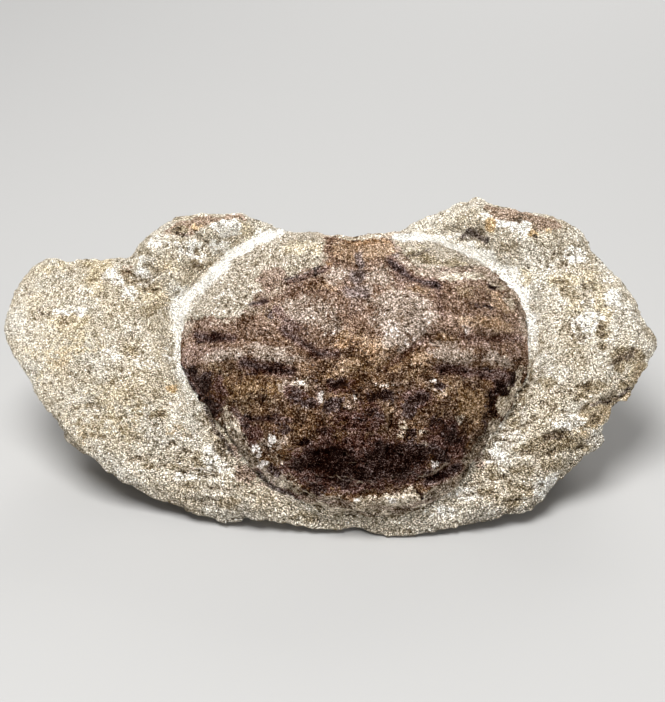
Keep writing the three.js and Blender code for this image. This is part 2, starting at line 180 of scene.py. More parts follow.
SHELL_GROOVES = [
    ([(0.4, 20.6), (0.2, 15.6)], 1, -0.42),
    *both([(0.2, 15.6), (1.8, 11), (3.6, 5.5)], 0.6, -0.3),
    *both([(11.8, 4.2), (8, 1.1), (3.4, -2.7)], 0.9, -0.35),
    *both(HEART_SIDE, 0.9, -0.4),
    *both([(13, 4.2), (18, 4.2), (27, 5.6)], 0.9, -0.4),
    *both([(12, -1.8), (22, -1.4)], 0.9, -0.4),
    (RIGHT_ORBIT, 0.8, -1),
    (LEFT_ORBIT, 0.6, -0.7),
    (LEFT_FLAKE, 0.4, -0.5),
    ([(12.2, -19.4), (14.4, -18.5), (16.8, -17)], 0.7, -0.7),
]
DARK_GROOVES = [  # where grooves get painted shade as dark lines, whether or not they are deep
    (RIGHT_ORBIT, 0.75, -1),
    ([(5.9, 18.8), (7, 15.6), (7.4, 13.4)], 1, -0.3),
    (LEFT_ORBIT, 0.7, -0.6),
    (LEFT_FLAKE, 0.45, -0.9),
    ([(-12.8, 5.4), (-9, 2.3), (-6.6, 0.9), (-3.6, 0.4)], 0.8, -0.8),
    ([(12.8, 4.6), (8.4, 1.3), (4.6, -1.8)], 0.7, -0.4),
    *both(HEART_SIDE, 0.8, -0.35),
    ([(-28, 6.6), (-25.5, 5.2), (-21.5, 4.7)], 0.8, -0.9),
    ([(17.9, 4.6), (22.9, 4.8), (28.6, 6.2)], 0.8, -0.5),
    ([(-19.7, 0), (-16.4, -0.9), (-14, -1.6), (-11.4, -2.1)], 0.9, -1),
    ([(13.6, -1.4), (17.4, -1.3), (22.4, -1.5), (26, -1)], 0.8, -0.8),
    ([(-12.4, 11.1), (-9.3, 12), (-3.4, 11.8), (-1.4, 12.6)], 0.3, -0.3),
    ([(13.7, 13.4), (13.9, 10.8), (14.7, 7.8)], 0.7, -0.4),
    ([(-14, 9), (-12.6, 7.2), (-10, 5.4)], 0.8, -0.6),
    ([(11.8, -19.8), (14.4, -18.6), (17.4, -16.7)], 0.8, -1.2),
    ([(-21.6, -6.9), (-19.6, -9.2), (-16.3, -9.3), (-11.5, -10.1)], 0.5, -0.8),
]
SHELL_RIDGES = [
    ([(7, 20.3), (8.3, 18.4), (10.4, 16.6), (12.6, 16)], 0.5, 0.5),
    ([(-6, 15.2), (-9, 13.2), (-12, 12)], 0.7, 0.35),
    ([(-12, -22.9), (0, -23.3), (12, -21.9)], 0.6, 0.35),
]
SHELL_LOBES = [
    (3, 20, 1.9, 2.6, 0.35), (-2.9, 20, 1.9, 2.6, 0.35), (7.6, 7.6, 4.2, 4.2, 0.35),
    (-7.4, 7.6, 4.2, 4.2, 0.35), (0, 1.5, 3.4, 3.2, 0.35), (23.3, 8.4, 3.4, 1.8, 0.4),
    (-23.5, 8, 3.4, 1.2, 0.3), (19.7, -5.6, 4.5, 2.2, 0.4), (-18.4, -5, 4.5, 2.2, 0.4),
    (12.6, -12.6, 3.4, 2.4, 0.35), (-12.6, -12.8, 3.4, 2.4, 0.35), (0, -10.4, 3.6, 3, 0.4),
    (0, -17.5, 3, 1.4, 0.25), (20.7, 1.6, 6.5, 1, 0.3), (-20, 1.8, 6.5, 1, 0.3), (0.3, 23.6, 1, 1.4, 0.5),
]
SHELL_PITS = [
    (-3.4, -4.4, 1.5, 0.8, -0.55), (2.8, -4.2, 1.4, 0.7, -0.5), (0.2, -5.6, 1.2, 0.6, -0.35),
    (-16.5, -9.6, 3, 0.8, -0.5), (10, -6.4, 1.8, 1.2, -0.4), (23.4, 15.2, 2, 1.4, -0.35),
    (21.6, 11, 2.2, 1.2, -0.3), (-6.1, -16, 2.6, 1.3, -0.6), (6.3, -16, 3, 1.3, -0.6),
    (15.8, -17.8, 1.6, 0.9, -0.6), (14.5, -9.2, 1.3, 0.9, -0.35),
]

# ---- Markings: patches are (x, u, half width, half height, strength) ----

STONE_MARKS = {
    "yellow": [
        (-56.4, 12.8, 2.6, 2, 0.45), (-46.3, 20.4, 3, 1.6, 0.75), (-46.6, 16.4, 2.2, 3.4, 0.6),
        (-50.1, 9.1, 3.6, 2, 0.7), (-49.3, 4.8, 5, 3, 0.5), (-54.7, 2.4, 4.5, 4, 0.45),
        (-54, 19, 4, 2, 0.45), (-43, -7, 9, 6, 0.4), (-39.8, 3.6, 2, 1.2, 0.7), (-36.2, 14, 3, 2.6, 0.5),
        (-19.3, 26.3, 3.6, 0.9, 0.65), (-9, 21.4, 4, 2, 0.4), (9.6, 21.6, 3.5, 1.4, 0.4),
        (17.5, 18.8, 3, 1, 0.5), (30.1, 18, 1.6, 1.8, 0.55), (36.9, 16.6, 3, 1.8, 0.65),
        (42.3, 17, 2, 2.8, 0.6), (38.4, 11.3, 1.2, 3.2, 0.6), (42.8, 10.9, 2, 3, 0.65),
        (49.6, 0, 2.4, 2.6, 0.55), (43.2, -6.4, 3, 1.2, 0.85), (40.8, -7.7, 2.6, 1.4, 0.75),
        (33, -19, 3, 1.6, 0.4), (-20, -22, 5, 1.2, 0.45), (-34, 19.6, 3, 2, 0.45),
    ],
    "white": [
        (-43.6, 17.8, 2.2, 1.6, 0.65), (-47.7, 15, 2, 1.2, 0.45), (-48.4, 11, 2.4, 1.2, 0.5),
        (-52.5, 11.2, 2, 0.9, 0.5), (-42.3, 3.3, 2.2, 1.2, 0.45), (-37.1, 1.9, 2.6, 1.5, 0.5),
        (-32.2, 15.6, 1.6, 1.6, 0.5), (-29.6, 22.7, 2.8, 1, 0.6), (-34.7, 23.3, 2.4, 1.6, 0.45),
        (-23.4, 26.1, 2.6, 1.3, 1), (-24.2, 23.4, 2.4, 1.3, 0.8), (43.5, 17, 1.6, 1.4, 0.5),
        (45, 13.1, 2, 2, 0.6), (40.2, 12.5, 1.8, 0.8, 0.4), (38.8, 22, 2.6, 2, 0.8),
        (41.4, 5.3, 1.2, 1.6, 0.4), (24.8, 27.7, 2.8, 0.9, 0.8), (28.9, 25.6, 2.2, 1.4, 0.65),
        (27.4, 26.8, 3.6, 0.9, 0.9), (-33, 4.4, 1.4, 2.4, 0.5), (29, -5.8, 1.6, 1.6, 0.5),
        (38, -8.6, 1.8, 1.2, 0.5), (-42.4, 16.8, 1.8, 1.6, 0.7), (-40.4, 14.4, 1.8, 1.6, 0.7),
        (-37.8, 17.6, 1.8, 1.4, 0.8), (-19.6, 8.8, 1.4, 0.8, 0.65), (-17.2, 11.8, 1.1, 1.4, 0.7),
        (24, -13.4, 1.2, 3.6, 0.6), (19.4, -20.8, 4, 1.3, 0.75), (33, -19.6, 3, 2.2, 0.8),
        (36.6, -9.6, 2.4, 1, 0.6), (-24.2, -13.4, 2, 1.6, 0.6), (-25, -16.3, 2.6, 1.4, 0.6),
        (-29, -17.8, 2.6, 1.2, 0.45), (15.4, -23.8, 2, 1, 0.7), (12, -24.6, 1.6, 0.8, 0.4),
        (-30, 21.7, 1.8, 1.2, 0.8), (-37, 20.2, 1.8, 1.2, 0.6), (12, 25.2, 3, 0.9, 0.5),
        (-27, 21, 4, 2, 0.4), (-22, 12, 4, 2.4, 0.4), (40.4, 8.4, 3, 3, 0.7),
    ],
    "brown": [
        (-31.6, 25.3, 2.4, 1.3, 1), (-29.6, 26.2, 3, 1.1, 0.9), (-26.6, 27.8, 2.6, 1.2, 1),
        (-22, 28.2, 3, 0.6, 0.6), (23.7, 29.6, 1.8, 0.8, 0.9), (28, 28.5, 4.4, 1.4, 1),
        (31, 28.2, 4, 1.2, 0.85), (34.5, 27.2, 2.2, 1.5, 0.85), (32.8, 26.5, 2, 1.1, 0.65),
        (-40.6, 18.6, 1.2, 1.6, 0.5),
    ],
    # Olive: partly the stone's own olive tint, partly painted shade in crevices, hollows and under ledges.
    "olive": [
        (-35, 10.4, 3.6, 2.6, 0.4), (-39.8, -8, 3, 4, 0.25), (41.3, 6, 1.4, 4, 0.3),
        (28.6, -20, 2.4, 1.2, 0.5), (31.8, 5.2, 1.4, 1.6, 0.5), (20.4, 22.6, 3, 1, 0.5),
        (27, 22.6, 2.4, 1, 0.45), (-37.2, 16, 1.6, 0.4, 0.3), (-34.4, 13.2, 1.8, 1, 0.5),
        (-31.6, 25, 1.4, 0.7, 0.9), (-40.6, 17.7, 1, 1, 0.5), (-28.6, 19.9, 1.6, 0.5, 0.75),
        (-28.4, 21.9, 0.5, 0.8, 0.6), (-24.4, 22.2, 0.7, 0.4, 0.4), (19.3, 27.3, 2.4, 1.2, 0.35),
        (11, 19.9, 2.8, 1, 0.95), (13, 19, 1.8, 0.8, 0.8), (16.6, 18.8, 1.6, 0.9, 0.8),
        (43, 8.2, 0.9, 0.9, 0.7), (43.4, 6.8, 1.6, 0.8, 0.9), (43, 4.7, 0.8, 1.2, 0.6),
        (31.3, 6, 0.9, 1.6, 0.6), (46.4, 3, 2.8, 1.2, 0.9), (45.2, 1.9, 1.6, 0.8, 0.9),
        (49.6, 2.8, 1, 1, 0.6), (41.4, -2.8, 2.2, 1, 0.9), (38.8, -4.4, 1.6, 0.8, 0.8),
        (43.4, -4.9, 2.6, 0.6, 0.95), (47.6, -2.3, 1.6, 1.2, 0.9), (35.3, -12, 3.8, 1.8, 0.9),
        (32, -11.7, 2, 0.8, 0.8), (39, -12.6, 2, 0.8, 0.6), (27.9, -13.3, 0.7, 0.5, 0.9),
        (24.3, -18.1, 1.4, 0.6, 0.9), (22.6, -20.8, 1.6, 0.8, 0.8), (33.8, -15.6, 2.4, 0.9, 0.7),
        (33.4, -1.4, 1.6, 1.2, 0.6), (-25.2, 20.6, 2, 0.9, 0.6), (26.3, -22.2, 2.4, 0.7, 0.7),
        (45.6, 0.7, 1.6, 0.9, 0.95), (27, -7.6, 1.6, 2, 0.5), (28.9, -9.5, 0.8, 0.6, 0.6),
        (40.4, -6.4, 1.8, 0.6, 0.6), (28.2, -16.8, 2.2, 1.2, 0.6), (20, -22, 4, 0.7, 0.25),
        (-40.6, 4.4, 0.8, 0.5, 0.8), (-46.1, 7.2, 0.8, 1, 0.45), (-42.4, -2.1, 1, 0.7, 0.6),
        (-35.2, -7.4, 0.8, 0.7, 0.8), (-33.6, -7.2, 0.8, 0.9, 0.7), (-37.6, -4, 3.6, 2, 0.35),
        (-46.4, -8.4, 3.4, 1.8, 0.45), (37.7, 14.7, 2.2, 1.6, 0.5), (-28.6, -14.2, 1.8, 0.5, 0.6),
        (-27.3, -15.3, 1.1, 0.5, 0.6), (-31.5, -15.8, 2.2, 0.6, 0.45), (-36.1, -16.3, 2, 0.6, 0.55),
        (31.4, -12.8, 2.4, 1.6, 0.8), (6, -24.8, 2.4, 0.7, 0.6), (-10.4, 23, 3.2, 1, 0.35),
        (23.4, -16.2, 1.2, 1, 0.5), (-21.4, -22.4, 3, 1.2, 0.7), (-18.9, -20.6, 1.8, 0.8, 0.6),
        (-9.4, -24.4, 3, 0.9, 0.7), (-29.9, -19.5, 1.8, 0.4, 0.6),
    ],
    # Dark: painted shade in cracks, pits and under ledges.
    "dark": [
        (20.4, 25.2, 1.2, 0.4, 0.5), (46.6, 2.6, 1.6, 0.6, 0.5), (34.6, -10.9, 2, 0.5, 0.8),
        (31.8, 24.6, 0.7, 0.3, 0.5), (29.6, 28.3, 1.8, 0.35, 0.6), (28.4, 27.4, 1, 0.3, 0.8),
        (33.6, -10.9, 2, 0.35, 0.6), (-31.7, 25, 0.8, 0.4, 0.5), (-28.4, 19.8, 0.9, 0.4, 0.5),
        (43.3, 7, 1, 0.3, 0.5),
    ],
    "ochre": [
        (44.4, -6.6, 3.4, 1, 0.9), (40.6, -8.2, 2.8, 1.2, 0.85), (48, -3.6, 1.6, 2, 0.7),
        (43.4, -5.2, 2.6, 0.6, 0.6), (38.4, -10.4, 2, 1.4, 0.55), (49.4, 1, 1.2, 2.2, 0.6),
        (-47, -11.2, 4, 1.4, 0.35), (-31.4, -10.4, 2.6, 1.4, 0.4), (-52, 3, 3, 2, 0.35),
        (30.4, 1.8, 0.9, 2.2, 0.55), (-34.8, 19, 2, 1.2, 0.4),
    ],
    "rust": [
        (-32.7, -2.6, 1, 1, 0.85), (23.8, 26.4, 0.9, 0.9, 0.95), (31.1, 24.9, 1.2, 0.6, 0.85),
        (-28.4, 25.8, 1.6, 0.6, 0.5), (34, 25.4, 1.2, 0.5, 0.5),
    ],
    # Painted shadow: a brownish band on the stone along the shell's edge.
    "shadow_by_shell": [
        (-21.6, -13.2, 1, 1.4, 0.85), (-19.2, -17.4, 1.8, 1.7, 0.8), (-14.8, 13.2, 1.8, 1.2, 0.8),
        (-10.5, 14.1, 5, 0.9, 1), (-14.6, 15, 2.4, 2, 1), (-17, 11.6, 1.2, 1.2, 0.7),
        (4.8, 22.6, 2.2, 0.9, 0.7), (7.6, 19, 1.6, 0.8, 0.7), (-20.4, -13.6, 1.4, 1.4, 0.45),
        (-14.6, -19.2, 3, 0.7, 0.45), (21, -14, 1.2, 2.4, 0.4), (17, -19, 1.6, 1.2, 0.4),
        (22.6, -9.8, 1.1, 2, 0.4),
    ],
}
SHELL_MARKS = {
    "olive": [
        (-20, -5.5, 6, 2.8, 0.45), (20, -6, 6, 3.4, 0.3), (18, -15, 3.4, 2.6, 0.4),
        (-23.5, -1, 4, 1.6, 0.35), (-2, -1, 4, 2.2, 0.5), (-14.6, 8.6, 2, 1.4, 0.5),
        (-13, -17, 4, 3.6, 0.5), (20.4, 13, 4, 2, 0.4), (8, -2, 4, 2, 0.3),
    ],
    "bronze": [
        (-1, 3.6, 3, 1, 0.4), (0.6, -0.6, 3, 1, 0.5), (-4.6, -20.7, 3.6, 0.7, 0.85),
        (19.4, -6.6, 3.4, 2.6, 0.6), (-16.4, -4.4, 4.5, 1.4, 0.55), (-22, -3.6, 4, 2.2, 0.5),
        (3, -1.6, 5, 1.4, 0.5), (-5, -3.4, 1.6, 1, 0.6), (14, -7.6, 3, 1.6, 0.4),
    ],
    "stone": [  # thin stone still on the shell
        (2.2, -23.2, 3.4, 1.2, 1), (5.4, -23.1, 3.2, 1.4, 1), (8.8, -22.6, 2.8, 1.2, 0.65),
        (-3.2, 22, 1.8, 1, 0.5), (-22.8, -8.6, 2, 2.4, 0.65), (-20.8, -10.6, 1.2, 1.2, 0.2),
        (-18.6, -14.2, 0.9, 1, 0.3), (-15, -15.4, 2.4, 1.2, 0.35), (-10.6, -20.2, 2.6, 0.8, 0.7),
        (-9.8, -4, 1.9, 1.2, 0.35), (7.4, -11.9, 1.3, 1.4, 0.6), (17.4, -9.5, 0.9, 0.9, 0.5),
        (28.4, -1.2, 1, 1.8, 0.9), (27.2, -3.4, 1.2, 1.8, 1), (25.6, -6, 1.2, 1.9, 1),
        (23.9, -8.8, 1.1, 1.8, 0.9), (26.6, 13.8, 1.2, 1.4, 0.5), (11.1, -12.4, 0.9, 0.7, 0.6),
        (11.3, -15.3, 1, 1.3, 0.5), (19.6, -14.6, 0.8, 1.6, 0.35), (15.2, 15.6, 1.8, 0.9, 0.8),
        (18, 16.4, 2, 0.8, 0.6), (21, 16.7, 2.4, 1, 0.75), (25.2, 15.8, 1.8, 1.1, 0.85),
        (28.6, 1.2, 0.8, 1.4, 0.5), (27.3, 12.8, 1, 1.8, 0.75), (-22.4, 7.6, 3, 0.5, 0.5),
        (0.4, 25.4, 8, 2.2, 1),
    ],
    "grey": [
        (-8, 8.4, 5.2, 3.4, 0.75), (7.7, 7.6, 5.4, 4.6, 0.85), (-19, 1.9, 6.6, 1.1, 0.8),
        (-15.2, 0.4, 3.4, 1.2, 0.9), (16, 0.6, 3.6, 1.3, 0.95), (-10.8, -0.2, 1.6, 1, 0.7),
        (-4.4, 5.6, 2.2, 1.6, 0.8), (6.8, 2.8, 2.4, 1.4, 0.8), (15, 3, 2.4, 1.2, 0.8),
        (21.4, 1.4, 6, 1, 0.75), (-15.4, -14, 3.4, 1.5, 0.6), (-12.2, -18.8, 3, 1.4, 0.7),
        (-3.6, 15.2, 2.6, 2, 0.5), (-10.6, -4, 3, 1.4, 0.45), (2, 11, 4, 2.4, 0.4), (4, 15, 2.4, 2, 0.5),
        (13, -5, 2, 1, 0.3), (-3, -8.6, 2, 1, 0.3),
    ],
    "tan": [
        (-2.8, -14.5, 3.6, 0.5, 0.75), (3.4, -14.3, 1.4, 0.5, 0.6), (0.2, -17, 1.2, 1.2, 0.4),
        (-3.4, -1.2, 3, 1.4, 0.6), (-0.4, 1.4, 3.4, 1.6, 0.6), (14.2, 4.2, 2, 1.2, 0.85),
        (10.8, -0.2, 1.8, 1, 0.8), (-7.6, 13, 2.2, 1, 0.6), (5.6, -8.8, 1.4, 1, 0.45),
        (0.6, 20.6, 5.6, 2.8, 0.95), (10.6, 12.6, 2.2, 0.8, 0.85), (22.9, 7.5, 4, 1.2, 0.85),
        (19.2, 7.2, 2.4, 1, 0.5), (5.6, 11.8, 1.6, 1, 0.5), (-5, 13, 1.4, 1.4, 0.55),
        (1.2, 1, 4.4, 2.4, 0.45), (25.8, 11.2, 2, 1.6, 0.6), (24.6, 13.4, 1.6, 1, 0.6),
        (-12, 4.4, 2, 1, 0.3),
    ],
    "pink": [
        (-28.8, 2.8, 1.8, 2, 0.85), (-25.6, 2.8, 3, 1.3, 0.7), (-12, 13, 4.4, 1, 0.6),
        (-24.4, 7.6, 3, 0.7, 0.4), (21, 3.3, 3.8, 0.8, 0.65), (27.6, 3.2, 1.6, 1.6, 0.6),
        (-0.6, -12.8, 4.2, 0.9, 0.6), (-15.4, 10, 1.6, 1, 0.3), (16.2, -15.2, 1.2, 0.7, 0.5),
        (13, 1.2, 3, 1.1, 0.4), (3.4, -9, 1.2, 0.8, 0.3),
    ],
    "purple": [
        (0.4, 18.4, 0.9, 2, 0.95), (0.1, 15.2, 1.7, 1.6, 0.95), (-0.1, 12, 2.6, 1.4, 0.8),
        (-0.4, 9.2, 1.2, 2.4, 0.4), (6.2, 19.6, 0.9, 0.7, 0.6), (7.6, 15, 1.3, 1.2, 0.5),
        (-2.4, -13.6, 1.2, 1, 0.3),
    ],
    "orange": [
        (0.4, 22.5, 5.4, 0.8, 0.8), (-2, 1.8, 3, 1.2, 0.55), (1.6, 0.6, 2.4, 1, 0.45),
        (-5.2, 13.2, 1, 1.4, 0.5), (22.6, 7.6, 2.6, 0.8, 0.5), (10.8, 12.7, 1.6, 0.6, 0.5),
        (-5.2, 17, 0.9, 1.4, 0.6), (-27.6, 4.6, 1, 1, 0.4),
    ],
    "red": [
        (-0.6, -10.8, 4.8, 1.8, 0.7), (-3, -5, 3.4, 1, 0.7), (-18.1, -11.7, 1.9, 1.4, 0.8),
        (-10.6, -5.8, 1.8, 1.8, 0.6), (2, -8.6, 2.4, 2.2, 0.5), (15, -13.4, 4.4, 3.6, 0.75),
        (0, -17, 12.4, 4, 1), (16, -17.4, 3, 1.6, 0.6), (10.4, -7, 2.6, 1.8, 0.6), (-25, -5, 2.4, 3.6, 0.6),
        (24.6, -5, 2, 4, 0.6), (-5, -11.6, 2, 1.6, 0.6), (-14.6, -11.6, 2.4, 1, 0.4),
    ],
    "dark": [
        (-25.3, 5.3, 3, 0.8, 0.8), (-15, -1.6, 3.8, 0.7, 0.9), (-6.4, 0.9, 2, 0.6, 0.5),
        (-6.9, -2.1, 0.9, 0.8, 0.45), (-29.2, 0, 1, 1.4, 0.9), (-27, -2.4, 2, 2, 0.9),
        (-25.6, -5.6, 1.4, 2, 0.8), (-3.9, -7.6, 1.6, 0.9, 0.6), (8.7, -8.4, 1.2, 1.3, 0.6),
        (8.8, -12.8, 1.3, 1.2, 0.6), (14, -4.2, 1.4, 0.8, 0.6), (-7.2, -3.6, 1.2, 0.7, 0.5),
        (-14.4, -17.6, 1.6, 0.8, 0.6), (-7.8, -20.8, 2.4, 0.9, 0.65), (-10.6, -6.2, 0.9, 1.4, 0.5),
        (-3.8, -4.2, 2, 0.9, 0.85), (-0.8, -5.6, 2.2, 0.7, 0.65), (3.7, -6.5, 2.8, 0.8, 0.7),
        (10.4, -6.7, 1.6, 1, 0.7), (-19, -9.4, 1.1, 1, 0.9), (-15.2, -9.5, 2.6, 0.5, 0.7),
        (-9.3, -13.7, 1.2, 0.8, 0.9), (-6.2, -11.6, 1, 0.8, 0.75), (-5.2, -16.4, 4.2, 2.1, 1),
        (-1.4, -17.4, 2, 1, 0.7), (5.6, -16.8, 4.6, 2.4, 1), (9.6, -15.8, 2.4, 1.6, 0.85),
        (13, -15.8, 2.4, 1.4, 0.6), (5.4, -14.6, 3.4, 0.8, 0.8), (0.4, -18.9, 8.6, 0.9, 0.7),
        (-9.8, -16.7, 1.6, 1, 0.75), (16.6, -1.4, 3.2, 0.7, 0.9), (14.4, -1.9, 1, 0.7, 0.6),
        (22.4, -1.6, 2, 1, 0.6), (26.6, -1, 1.3, 1.2, 0.7), (25.2, -3, 1.4, 1.8, 0.9),
        (23, -5.6, 1, 1.8, 0.65), (22, -9.6, 0.8, 1.4, 0.5), (-4.2, -8.4, 1.8, 1, 0.7),
        (-14.2, 8.4, 1.8, 1.2, 0.3), (15.4, -12, 2.6, 1.4, 0.6), (2.2, -9.4, 1.8, 1, 0.5),
        (0.3, -10.7, 1.4, 0.8, 0.45), (23.9, 15.2, 1.1, 0.7, 0.8), (22.6, 10.7, 1.1, 0.6, 0.8),
        (20.3, 10.1, 1.4, 0.6, 0.5), (10.4, -21.8, 0.8, 0.3, 0.8), (14, -18.8, 2.2, 0.9, 1),
        (-10.4, 4.6, 2.4, 0.8, 0.4), (18, 9.4, 1, 0.6, 0.3), (-12.8, -11.2, 1.6, 1, 0.5),
        (-8.3, -7.6, 1.6, 1, 0.5), (-2.6, -20, 2, 0.8, 0.6), (13.6, -10.4, 1.6, 0.8, 0.5),
    ],
    "fleck": [
        (-6.5, -6.5, 0.5, 0.9, 1), (-0.9, -6.6, 0.45, 0.35, 1), (3.5, -4.6, 0.7, 0.45, 0.5),
        (5.2, -4.5, 0.8, 0.45, 0.45), (-14.7, -13, 0.9, 0.9, 0.9), (-17.9, -13.6, 0.6, 0.5, 0.7),
        (-17.1, -15, 0.6, 1, 0.9), (-16.4, -16.5, 0.9, 0.6, 0.9), (13.2, -16.9, 0.6, 0.5, 0.6),
        (12.7, -3.5, 0.7, 0.4, 0.65), (6.4, 4.4, 2.2, 1.4, 0.24), (11.4, 5.5, 1, 0.9, 0.25),
        (8.8, 3.2, 2, 0.8, 0.3), (18.5, 5.9, 0.8, 0.6, 0.35), (-10, -3.6, 1.2, 0.7, 0.25),
        (-4.7, 4, 1.2, 0.5, 0.4), (4.4, -22.7, 2.2, 0.4, 0.6), (0.6, -22.6, 1.6, 0.3, 0.5),
        (-8.8, -8.8, 0.7, 0.5, 0.35), (2.9, -22.9, 1.6, 0.35, 0.5), (17.4, -9.6, 0.5, 0.5, 0.4),
        (10.9, -12.2, 0.5, 0.4, 0.4),
    ],
}


# ---- Small helpers ----

def smoothstep(low, high, value):
    share = np.clip((value - low) / (high - low), 0, 1)
    return share * share * (3 - 2 * share)


def bell(distance, width):
    return np.exp(-((distance / width) ** 2))


def lattice_hash(cells, seed):
    """A pseudo-random whole number for each cell of a lattice."""
    mixed = np.full(len(cells), (seed * 0x9E3779B1) & 0xFFFFFFFF, np.uint32)
    for axis, factor in enumerate((0x8DA6B343, 0xD8163841, 0xCB1AB31F)):
        mixed ^= cells[:, axis].astype(np.uint32) * np.uint32(factor)
    for shift, factor in ((15, 0x2C1B3C6D), (12, 0x297A2D39)):
        mixed ^= mixed >> np.uint32(shift)
        mixed *= np.uint32(factor)
    return mixed ^ (mixed >> np.uint32(15))


# From a cube's middle to the middles of its twelve edges.
EDGE_WAYS = [way for way in product((-1, 0, 1), repeat=3) if sum(map(abs, way)) == 2]
GRADIENTS = np.array(EDGE_WAYS, float)


def noise(points, size, seed):
    """Gradient noise with lumps of the given size, about -1 to 1."""
    scaled = points / size
    base = np.floor(scaled)
    part = scaled - base
    base = base.astype(np.int64)
    fade = part ** 3 * (part * (part * 6 - 15) + 10)
    total = np.zeros(len(points))
    for corner in product((0, 1), repeat=3):
        ways = GRADIENTS[lattice_hash(base + corner, seed) % len(GRADIENTS)]
        weight = np.prod(np.where(corner, fade, 1 - fade), axis=1)
        total += weight * np.einsum("ij,ij->i", ways, part - corner)
    return total


def layered(points, size, seed, layers=3, gain=0.5):
    """Noise with finer noise added to it."""
    return sum(gain ** k * noise(points, size / 2 ** k, seed + k) for k in range(layers))


def ridged(points, size, seed, layers=2, gain=0.5):
    """Noise with sharp crests and round hollows, about -1 to 1."""
    crest, slope = 0.8, 2.6
    sheets = (abs(noise(points, size / 2 ** k, seed + k)) for k in range(layers))
    return sum(gain ** k * (crest - slope * sheet) for k, sheet in enumerate(sheets))


def scattered(points, size, seed):
    """Distance to the nearest and to the second nearest of scattered points, in cells."""
    scaled = points / size
    base = np.floor(scaled).astype(np.int64)
    nearest = np.full((2, len(points)), 9.0)
    for step in product((-1, 0, 1), repeat=3):
        cell = base + step
        spread = [(lattice_hash(cell, seed + k) % 1024) / 1024 for k in range(3)]
        away = np.linalg.norm(cell + np.stack(spread, axis=1) - scaled, axis=1)
        nearest[1] = np.minimum(nearest[1], np.maximum(nearest[0], away))
        nearest[0] = np.minimum(nearest[0], away)
    return nearest


def terraced(heights, step):
    """The same heights with level treads and steep risers."""
    share = heights / step
    return step * (np.floor(share) + smoothstep(0.35, 0.65, share - np.floor(share)))


def path_distance(x, u, path):
    nearest = np.full(len(x), np.inf)
    for (ax, au), (bx, bu) in zip(path, path[1:]):
        length2 = (bx - ax) ** 2 + (bu - au) ** 2
        along = np.clip(((x - ax) * (bx - ax) + (u - au) * (bu - au)) / length2, 0, 1)
        away = np.hypot(x - ax - along * (bx - ax), u - au - along * (bu - au))
        nearest = np.minimum(nearest, away)
    return nearest


def lobe_relief(x, u, lobes):
    return sum(h * bell(np.hypot((x - lx) / rx, (u - lu) / ru), 1) for lx, lu, rx, ru, h in lobes)


def line_relief(x, u, lines):
    return sum(rise * bell(path_distance(x, u, path), width) for path, width, rise in lines)


def marking(x, u, patches):
    """Full inside each patch and nothing outside it, with the strongest patch on top."""
    total = np.zeros(len(x))
    for px, pu, rx, ru, strength in patches:
        away = np.hypot((x - px) / rx, (u - pu) / ru)
        total = np.maximum(total, strength * (1 - smoothstep(0.55, 1.45, away)))
    return total


class Outline:
    """A closed outline on the face that every ray from the face's origin crosses once."""

    def __init__(self, points):
        x, u = np.array(points, float).T
        angles = np.arctan2(u, x)
        order = np.argsort(angles)
        self.angles = angles[order]
        self.radii = np.hypot(x, u)[order]

    def outside(self, x, u):
        """How far out of the outline a point lies, along its ray."""
        return np.hypot(x, u) - np.interp(np.arctan2(u, x), self.angles, self.radii, period=2 * math.pi)


SHELL_OUTLINE = Outline(SHELL_FRONT + SHELL_BACK)
DOME_OUTLINE = Outline(DOME_FRONT + SHELL_BACK)


# ---- Fine meshes ----

def apply_modifiers(piece):
    old = piece.data
    depsgraph = bpy.context.evaluated_depsgraph_get()
    piece.data = bpy.data.meshes.new_from_object(piece.evaluated_get(depsgraph))
    piece.modifiers.clear()
    bpy.data.meshes.remove(old)


def fine_copy(node, name, voxel):
    """The node's solid as a new object with small even faces."""
    piece = bpy.data.objects.new(name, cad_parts[node].data.copy())
    bpy.context.collection.objects.link(piece)
    solid = bmesh.new()
    solid.from_mesh(piece.data)
    bmesh.ops.remove_doubles(solid, verts=solid.verts, dist=WELD_DISTANCE * MM)
    solid.to_mesh(piece.data)
    solid.free()
    remesh = piece.modifiers.new("even faces", "REMESH")
    remesh.mode = "VOXEL"
    remesh.voxel_size = voxel * MM
    apply_modifiers(piece)
    piece.data.materials.clear()
    return piece


def thin_out(piece, most):
    """Joins faces where the surface is plain, down to a number of triangles."""
    triangles = sum(len(face.vertices) - 2 for face in piece.data.polygons)
    if triangles > most:
        decimate = piece.modifiers.new("plain parts", "DECIMATE")
        decimate.ratio = most / triangles
        apply_modifiers(piece)


